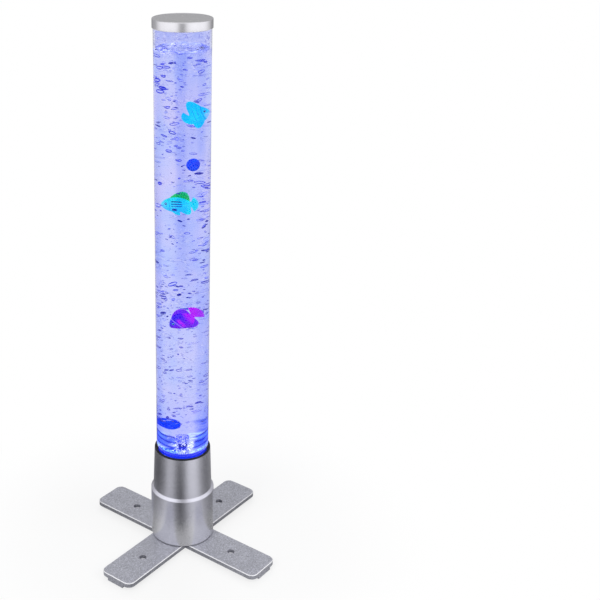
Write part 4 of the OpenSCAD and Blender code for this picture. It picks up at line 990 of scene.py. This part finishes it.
def fishBody(made, f, rings=48, sides=40):
    points, spots = [], []
    for i in range(rings + 1):
        t = 0.5 - 0.5 * math.cos(math.pi * (i / rings) ** 0.9)
        up, down, wide = backZ(t, f), bellyZ(t, f), flankY(t, f)
        lid = math.exp(-(((t - f["gill"]) / 0.018) ** 2))
        groove = math.exp(-(((t - f["gill"] - 0.045) / 0.02) ** 2))
        wide *= 1 + 0.05 * lid - 0.05 * groove
        for c, s in circle(sides):
            z = (up + down) / 2 + (up - down) / 2 * s
            mouth = max(0, 1 - abs(z) / 0.9) * max(0, 1 - t / 0.09) * 1.6
            points.append(((t - 0.5) * f["long"] + mouth, -wide * c, z))
            spots.append((t, (z - down) / max(up - down, 0.1)))
    nose, last = len(points), rings * sides
    points += [(-0.5 * f["long"] + 1.2, 0, 0), (0.5 * f["long"], 0, 0)]
    spots += [(0, 0.5), (1, 0.5)]
    faces = hoopFaces(rings, sides)
    for k in range(sides):
        n = (k + 1) % sides
        faces += [[nose, n, k], [nose + 1, last + k, last + n]]
    made.add(points, faces, spots, 0)


def ribbedSheet(made, slot, base, tip, thick, ribs, place=Matrix.Identity(4), across=30, out=8):
    points, spots, faces = [], [], []
    for side in (-1, 1):
        for i in range(across + 1):
            s = i / across
            wave = math.cos(2 * math.pi * ribs * s)
            b, e = Vector(base(s)), Vector(tip(s))
            e = b + (e - b) * (0.965 + 0.035 * wave)
            for j in range(out + 1):
                w = j / out
                p = b + (e - b) * w
                half = thick * 0.5 * (1 - 0.5 * w) * (1 + 0.45 * wave * (0.3 + 0.7 * w))
                points.append(tuple(place @ Vector((p[0], side * half, p[1]))))
                spots.append((s, w))
    row, sheet = out + 1, (across + 1) * (out + 1)
    for i in range(across):
        for j in range(out):
            a = i * row + j
            faces.append([a, a + 1, a + row + 1, a + row])
            faces.append([sheet + a, sheet + a + row, sheet + a + row + 1, sheet + a + 1])
    edge = [i * row for i in range(across + 1)] + [across * row + j for j in range(1, row)]
    edge += [i * row + out for i in range(across - 1, -1, -1)] + list(range(out - 1, 0, -1))
    for n, a in enumerate(edge):
        b = edge[(n + 1) % len(edge)]
        faces.append([a, b, b + sheet, a + sheet])
    made.add(points, faces, spots, slot)


finLook = dict(thick=1.2, tailThick=1.38, paddleThick=0.96, ribs=9, paddleRibs=5)


def ridgeFin(made, f, slot, side, start, end, height, lean):
    def edge(s, out, shift):
        t = start + (end - start) * s
        z = backZ(t, f) if side > 0 else bellyZ(t, f)
        return ((t - 0.5) * f["long"] + shift, z + side * out)

    def base(s):
        return edge(s, -1.5, 0.0)

    def tip(s):
        return edge(s, height * bell(s, 0.62, 0.7), lean * bell(s, 0.7, 0.8))

    ribbedSheet(made, slot, base, tip, finLook["thick"], finLook["ribs"])


def tailFin(made, f, slot, reach, half, notch, turn):
    root = f["long"] / 2 - 2
    spin = math.radians(turn)

    def place(x, z):
        across, up = math.cos(spin), math.sin(spin)
        return (root + x * across - z * up, x * up + z * across)

    def tip(s):
        a = math.radians(-half + 2 * half * s)
        far = (reach + 2) * (1 - notch * math.cos(math.pi / 2 * (2 * s - 1)))
        return place(far * math.cos(a), far * math.sin(a))

    def base(s):
        return place(0.4, (s - 0.5) * 1.6)

    ribbedSheet(made, slot, base, tip, finLook["tailThick"], finLook["ribs"], across=36)


def placed(spot, heading, pitch):  # turned by pitch, then heading, and moved
    turned = Matrix.Rotation(math.radians(heading), 4, "Z")
    return Matrix.Translation(spot) @ turned @ Matrix.Rotation(math.radians(pitch), 4, "Y")


def sideFins(made, f, slot, reach):
    def upper(s):
        return (reach * s, 0.34 * reach * bell(s, 0.6, 0.8))

    def lower(s):
        return (reach * s, -0.26 * reach * bell(s, 0.6, 0.8))

    thick, count = finLook["paddleThick"], finLook["paddleRibs"]
    for side in (-1, 1):
        root = (-0.14 * f["long"], side * flankY(0.36, f) * 0.9, -1.5)
        place = placed(root, side * 24, 12)
        ribbedSheet(made, slot, lower, upper, thick, count, place, across=20, out=6)


def eyes(made, f, slot, at, r, rings=12, sides=28):
    for side in (-1, 1):
        centre = Vector(((at - 0.5) * f["long"], side * flankY(at, f) * 0.86, backZ(at, f) * 0.42))
        points, spots = [], []
        for i in range(rings + 1):
            polar = math.pi * i / rings
            front = polar < math.pi / 2
            wide = r * math.sin(polar) * (1.0 if front else 0.96)
            out = side * r * math.cos(polar) * 0.98
            points += [tuple(centre + Vector((wide * c, out, wide * s))) for c, s in circle(sides)]
            spots += [(math.sin(polar) if front else 1.0, 0.5)] * sides
        made.add(points, hoopFaces(rings, sides), spots, slot)


def layFloat(name, made, place, finishes, node, slotName):
    mesh = bpy.data.meshes.new(name)
    mesh.from_pydata([tuple((place @ Vector(p)) * mm) for p in made.points], [], made.faces)
    for finish in finishes:
        mesh.materials.append(finish)
    mesh.polygons.foreach_set("material_index", made.slots)
    layer = mesh.uv_layers.new(name="floatMap")
    for loop in mesh.loops:
        layer.data[loop.index].uv = made.map[loop.vertex_index]
    piece = newPiece(name, mesh)
    squareUp(piece)
    mesh.shade_smooth()
    mesh.set_sharp_from_angle(angle=math.radians(50))
    low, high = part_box(node)
    off = 0.0
    for i in range(3):
        along = [v.co[i] for v in mesh.vertices]
        off = max(off, abs(min(along) - low[i]), abs(max(along) - high[i]))
    print(name, len(mesh.polygons), "faces, box differs by", round(off * 1000, 2), "mm")
    keep(piece, node, slotName, node)


vinylBase = dict(scale=1.6, relief=0.12, glow=0.62, gloss=0.12, coat=0.03, coatRough=0.15)


def vinylFinish(name, given, paint):
    look = {**vinylBase, **given}
    material, g = newFinish(name)
    spot = g.node("ShaderNodeUVMap", {"uv_map": "floatMap"})
    scales = g.cells(look["scale"]).ramp(0.1, 0.7)
    grain = g.noise(0.8)
    colour = paint(g, g.part(spot, 0), g.part(spot, 1))
    colour = g.layers(colour, (scales * 0.18, look["shadow"]))
    g.close(g.principled({
        "Base Color": colour,
        "Roughness": grain.ramp(0.3, 0.7, (0.36, 0.48)),
        "Specular IOR Level": look["gloss"],
        "Coat Weight": look["coat"],
        "Coat Roughness": look["coatRough"],
        # painted light: the fish glow with part of their own colour, so they stay bright inside the
        # water
        "Emission Color": g.blend(look["glow"], (0, 0, 0), colour),
        "Emission Strength": 1.0,
        "Normal": g.bump(scales * 0.6 + grain * 0.4, look["relief"], 0.7),
    }))
    return material


# paints: t runs from nose to tail or along a fin, v from belly to back or out to a fin's edge
def finPaint(look):
    def paint(g, t, v):
        turn = t * (2 * math.pi * finLook["ribs"])
        rib = turn.maths("COSINE", turn).ramp(-0.2, 0.9) * 0.6
        tip = v.ramp(0.75, 1.0) * 0.5
        return g.layers(look["web"], (rib, look["rib"]), (tip, look["tip"]))

    return paint


def eyePaint(g, t, v):
    pupil, iris, rim = (4, 6, 40), (120, 214, 255), (0, 30, 130)
    return g.layers(pupil, (t.ramp(0.5, 0.56), iris), (t.ramp(0.78, 0.86), rim))


def within(value, low, high, soft=0.012):
    return value.ramp(low - soft, low + soft) * value.ramp(high + soft, high - soft)


def cyanPaint(g, t, v):
    bars = within(t, 0.30, 0.335) + within(t, 0.52, 0.55) * v.ramp(0.3, 0.6)
    bars = bars + within(t, 0.74, 0.765)
    return g.layers(
        (30, 236, 255),
        (v.ramp(0.15, 0.9), (0, 222, 255)),
        (bars * 0.65, (0, 108, 196)),
        (within(t, 0.0, 0.24, 0.04) * v.ramp(0.55, 0.3) * 0.55, (190, 214, 250)),  # cheek
        (within(t, -0.1, 0.05) * within(v, 0.42, 0.6), (10, 50, 140)),  # mouth
    )


def stripedPaint(g, t, v):
    bent = v + t * 0.1
    lines = within(bent, 0.76, 0.83) + within(bent, 0.61, 0.67) + within(bent, 0.47, 0.52)
    spots = within(t, 0.04, 0.24, 0.02) * g.cells(2.6).ramp(0.26, 0.16)
    return g.layers(
        (40, 232, 255),
        (v.ramp(0.35, 0.95), (0, 236, 216)),
        (t.ramp(0.2, 0.0) * 0.6, (130, 240, 255)),
        (lines * within(t, 0.34, 0.7, 0.02), (0, 14, 120)),
        (within(t, 0.36, 0.52, 0.02) * within(v, 0.12, 0.3, 0.03), (0, 26, 150)),  # patch
        (spots * 0.6, (0, 90, 190)),
        (within(t, 0.268, 0.29, 0.008) * 0.55, (16, 110, 190)),  # gill
        (within(t, -0.1, 0.07) * within(v, 0.44, 0.58), (8, 30, 120)),  # mouth
    )


def purplePaint(g, t, v):
    blush = within(t, 0.42, 0.54, 0.05) * within(v, 0.2, 0.7, 0.1)
    bars = within(t, 0.5, 0.515) + within(t, 0.58, 0.595) + within(t, 0.66, 0.675)
    return g.layers(
        (136, 0, 226),
        (v.ramp(0.1, 0.9), (60, 0, 216)),
        (within(t, 0.78, 1.2, 0.1) * 0.7, (226, 0, 236)),
        (blush * 0.8, (240, 10, 240)),
        (within(t + v * 0.12, 0.385, 0.41, 0.01) * 0.9, (216, 170, 246)),  # gill
        (bars * 0.5, (50, 14, 150)),
        (within(t, -0.1, 0.07) * within(v, 0.42, 0.6), (40, 8, 90)),  # mouth
    )


# fins: finish, back or belly, start, end, height, lean
# tail: finish, reach, half angle, notch, turn
fishes = dict(
    cyanFish=dict(
        node="cyan_fish", vinyl="cyan_vinyl", long=27, rise=14.5, drop=11.5, halfWidth=6, peak=0.5,
        root=3.2, gill=0.3, paddle=9, eye=(0.17, 2.1), spot=(22.5, 4, 865.55), pitch=18,
        heading=172, fins=[(2, 1, 0.3, 0.97, 13, 3), (1, -1, 0.42, 0.97, 10.5, 3)],
        tail=(1, 11.5, 72, 0.06, -16), paint=cyanPaint, shadow=(0, 110, 190),
        finTones=dict(web=(0, 232, 255), rib=(0, 166, 232), tip=(60, 240, 255)),
        crestTones=dict(web=(0, 222, 255), rib=(0, 156, 226), tip=(40, 236, 255)),
    ),
    stripedFish=dict(
        node="striped_fish", vinyl="striped_vinyl", long=42, rise=13.5, drop=11.5, halfWidth=6.5,
        peak=0.46, root=4.2, gill=0.27, paddle=4.5, eye=(0.16, 2.3), spot=(-9.5, -4, 705.32),
        pitch=-4, heading=-8,
        fins=[(2, 1, 0.32, 0.96, 11.5, 4), (1, -1, 0.66, 0.97, 9, 3), (1, -1, 0.36, 0.6, 6, 3)],
        tail=(1, 12.8, 68, 0.14, 0), paint=stripedPaint, shadow=(10, 130, 170),
        finTones=dict(web=(0, 240, 226), rib=(0, 176, 196), tip=(110, 255, 240)),
        crestTones=dict(web=(0, 214, 60), rib=(0, 160, 56), tip=(0, 240, 160)),
    ),
    purpleFish=dict(
        node="purple_fish", vinyl="purple_vinyl", long=39, rise=15, drop=13, halfWidth=6.5,
        peak=0.52, root=4, gill=0.36, paddle=6, eye=(0.22, 2.2), spot=(-1.6, -4, 479.47),
        pitch=-36, heading=-10, fins=[(1, 1, 0.3, 0.98, 7.5, 5), (1, -1, 0.48, 0.98, 6.5, 4)],
        tail=(2, 18, 56, 0.06, 14), paint=purplePaint, shadow=(70, 10, 150),
        finTones=dict(web=(130, 20, 226), rib=(70, 6, 190), tip=(220, 90, 240)),
        crestTones=dict(web=(226, 0, 232), rib=(140, 0, 206), tip=(240, 20, 240)),
    ),
)


def makeFish(name, f):
    made = Pattern()
    fishBody(made, f)
    for fin in f["fins"]:
        ridgeFin(made, f, *fin)
    tailFin(made, f, *f["tail"])
    sideFins(made, f, 1, f["paddle"])
    eyes(made, f, 3, *f["eye"])
    fin = dict(shadow=f["shadow"], scale=3.0)
    finishes = [
        vinylFinish(name + "Body", dict(shadow=f["shadow"]), f["paint"]),
        vinylFinish(name + "Fin", fin, finPaint(f["finTones"])),
        vinylFinish(name + "Crest", fin, finPaint(f["crestTones"])),
        vinylFinish(name + "Eye", dict(shadow=(20, 20, 60), relief=0.02), eyePaint),
    ]
    place = placed(f["spot"], f["heading"], f["pitch"])
    layFloat(name, made, place, finishes, f["node"], f["vinyl"])


for fishName, f in fishes.items():
    makeFish(fishName, f)

ballLook = dict(low=(0, 62, 226), high=(0, 84, 246), steps=96, sides=96, seam=0.18, seamHalf=0.03)


def ballFinish(look):
    material, g = newFinish("ballVinyl")
    fine = g.noise(0.5)
    body = g.layers(look["low"], (g.noise(7.0).ramp(0.35, 0.65), look["high"]))
    g.close(g.principled({
        "Base Color": body,
        "Roughness": fine.ramp(0.3, 0.7, (0.3, 0.4)),
        "Specular IOR Level": 0.12,
        "Coat Weight": 0.05,
        "Coat Roughness": 0.1,
        # painted light: the ball glows with half its own colour
        "Emission Color": g.blend(0.5, (0, 0, 0), body),
        "Emission Strength": 1.0,
        "Normal": g.bump(fine, 0.02, 0.5),
    }))
    return material


def makeBall(name, node, finish, look, tilt):
    low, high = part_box(node)
    centre, radius = (low + high) / 2, (high.z - low.z) / 2 * 1000
    profile = []
    for i in range(look["steps"] + 1):
        a = math.pi / 2 - math.pi * i / look["steps"]
        r = radius - look["seam"] * math.exp(-((a / look["seamHalf"]) ** 2))  # where halves join
        profile.append((max(r * math.cos(a), 0.0), r * math.sin(a)))
    piece = lathe(name, profile, finish, sides=look["sides"], radius=0, smooth=60)
    tilted = Matrix.Rotation(math.radians(tilt), 4, "X")
    piece.data.transform(Matrix.Translation(centre) @ tilted)
    keep(piece, node, "blue_ball", node)


ballVinyl = ballFinish(ballLook)
makeBall("upperBall", "upper_ball", ballVinyl, ballLook, 24)
makeBall("lowerBall", "lower_ball", ballVinyl, ballLook, -38)
print("floats made")
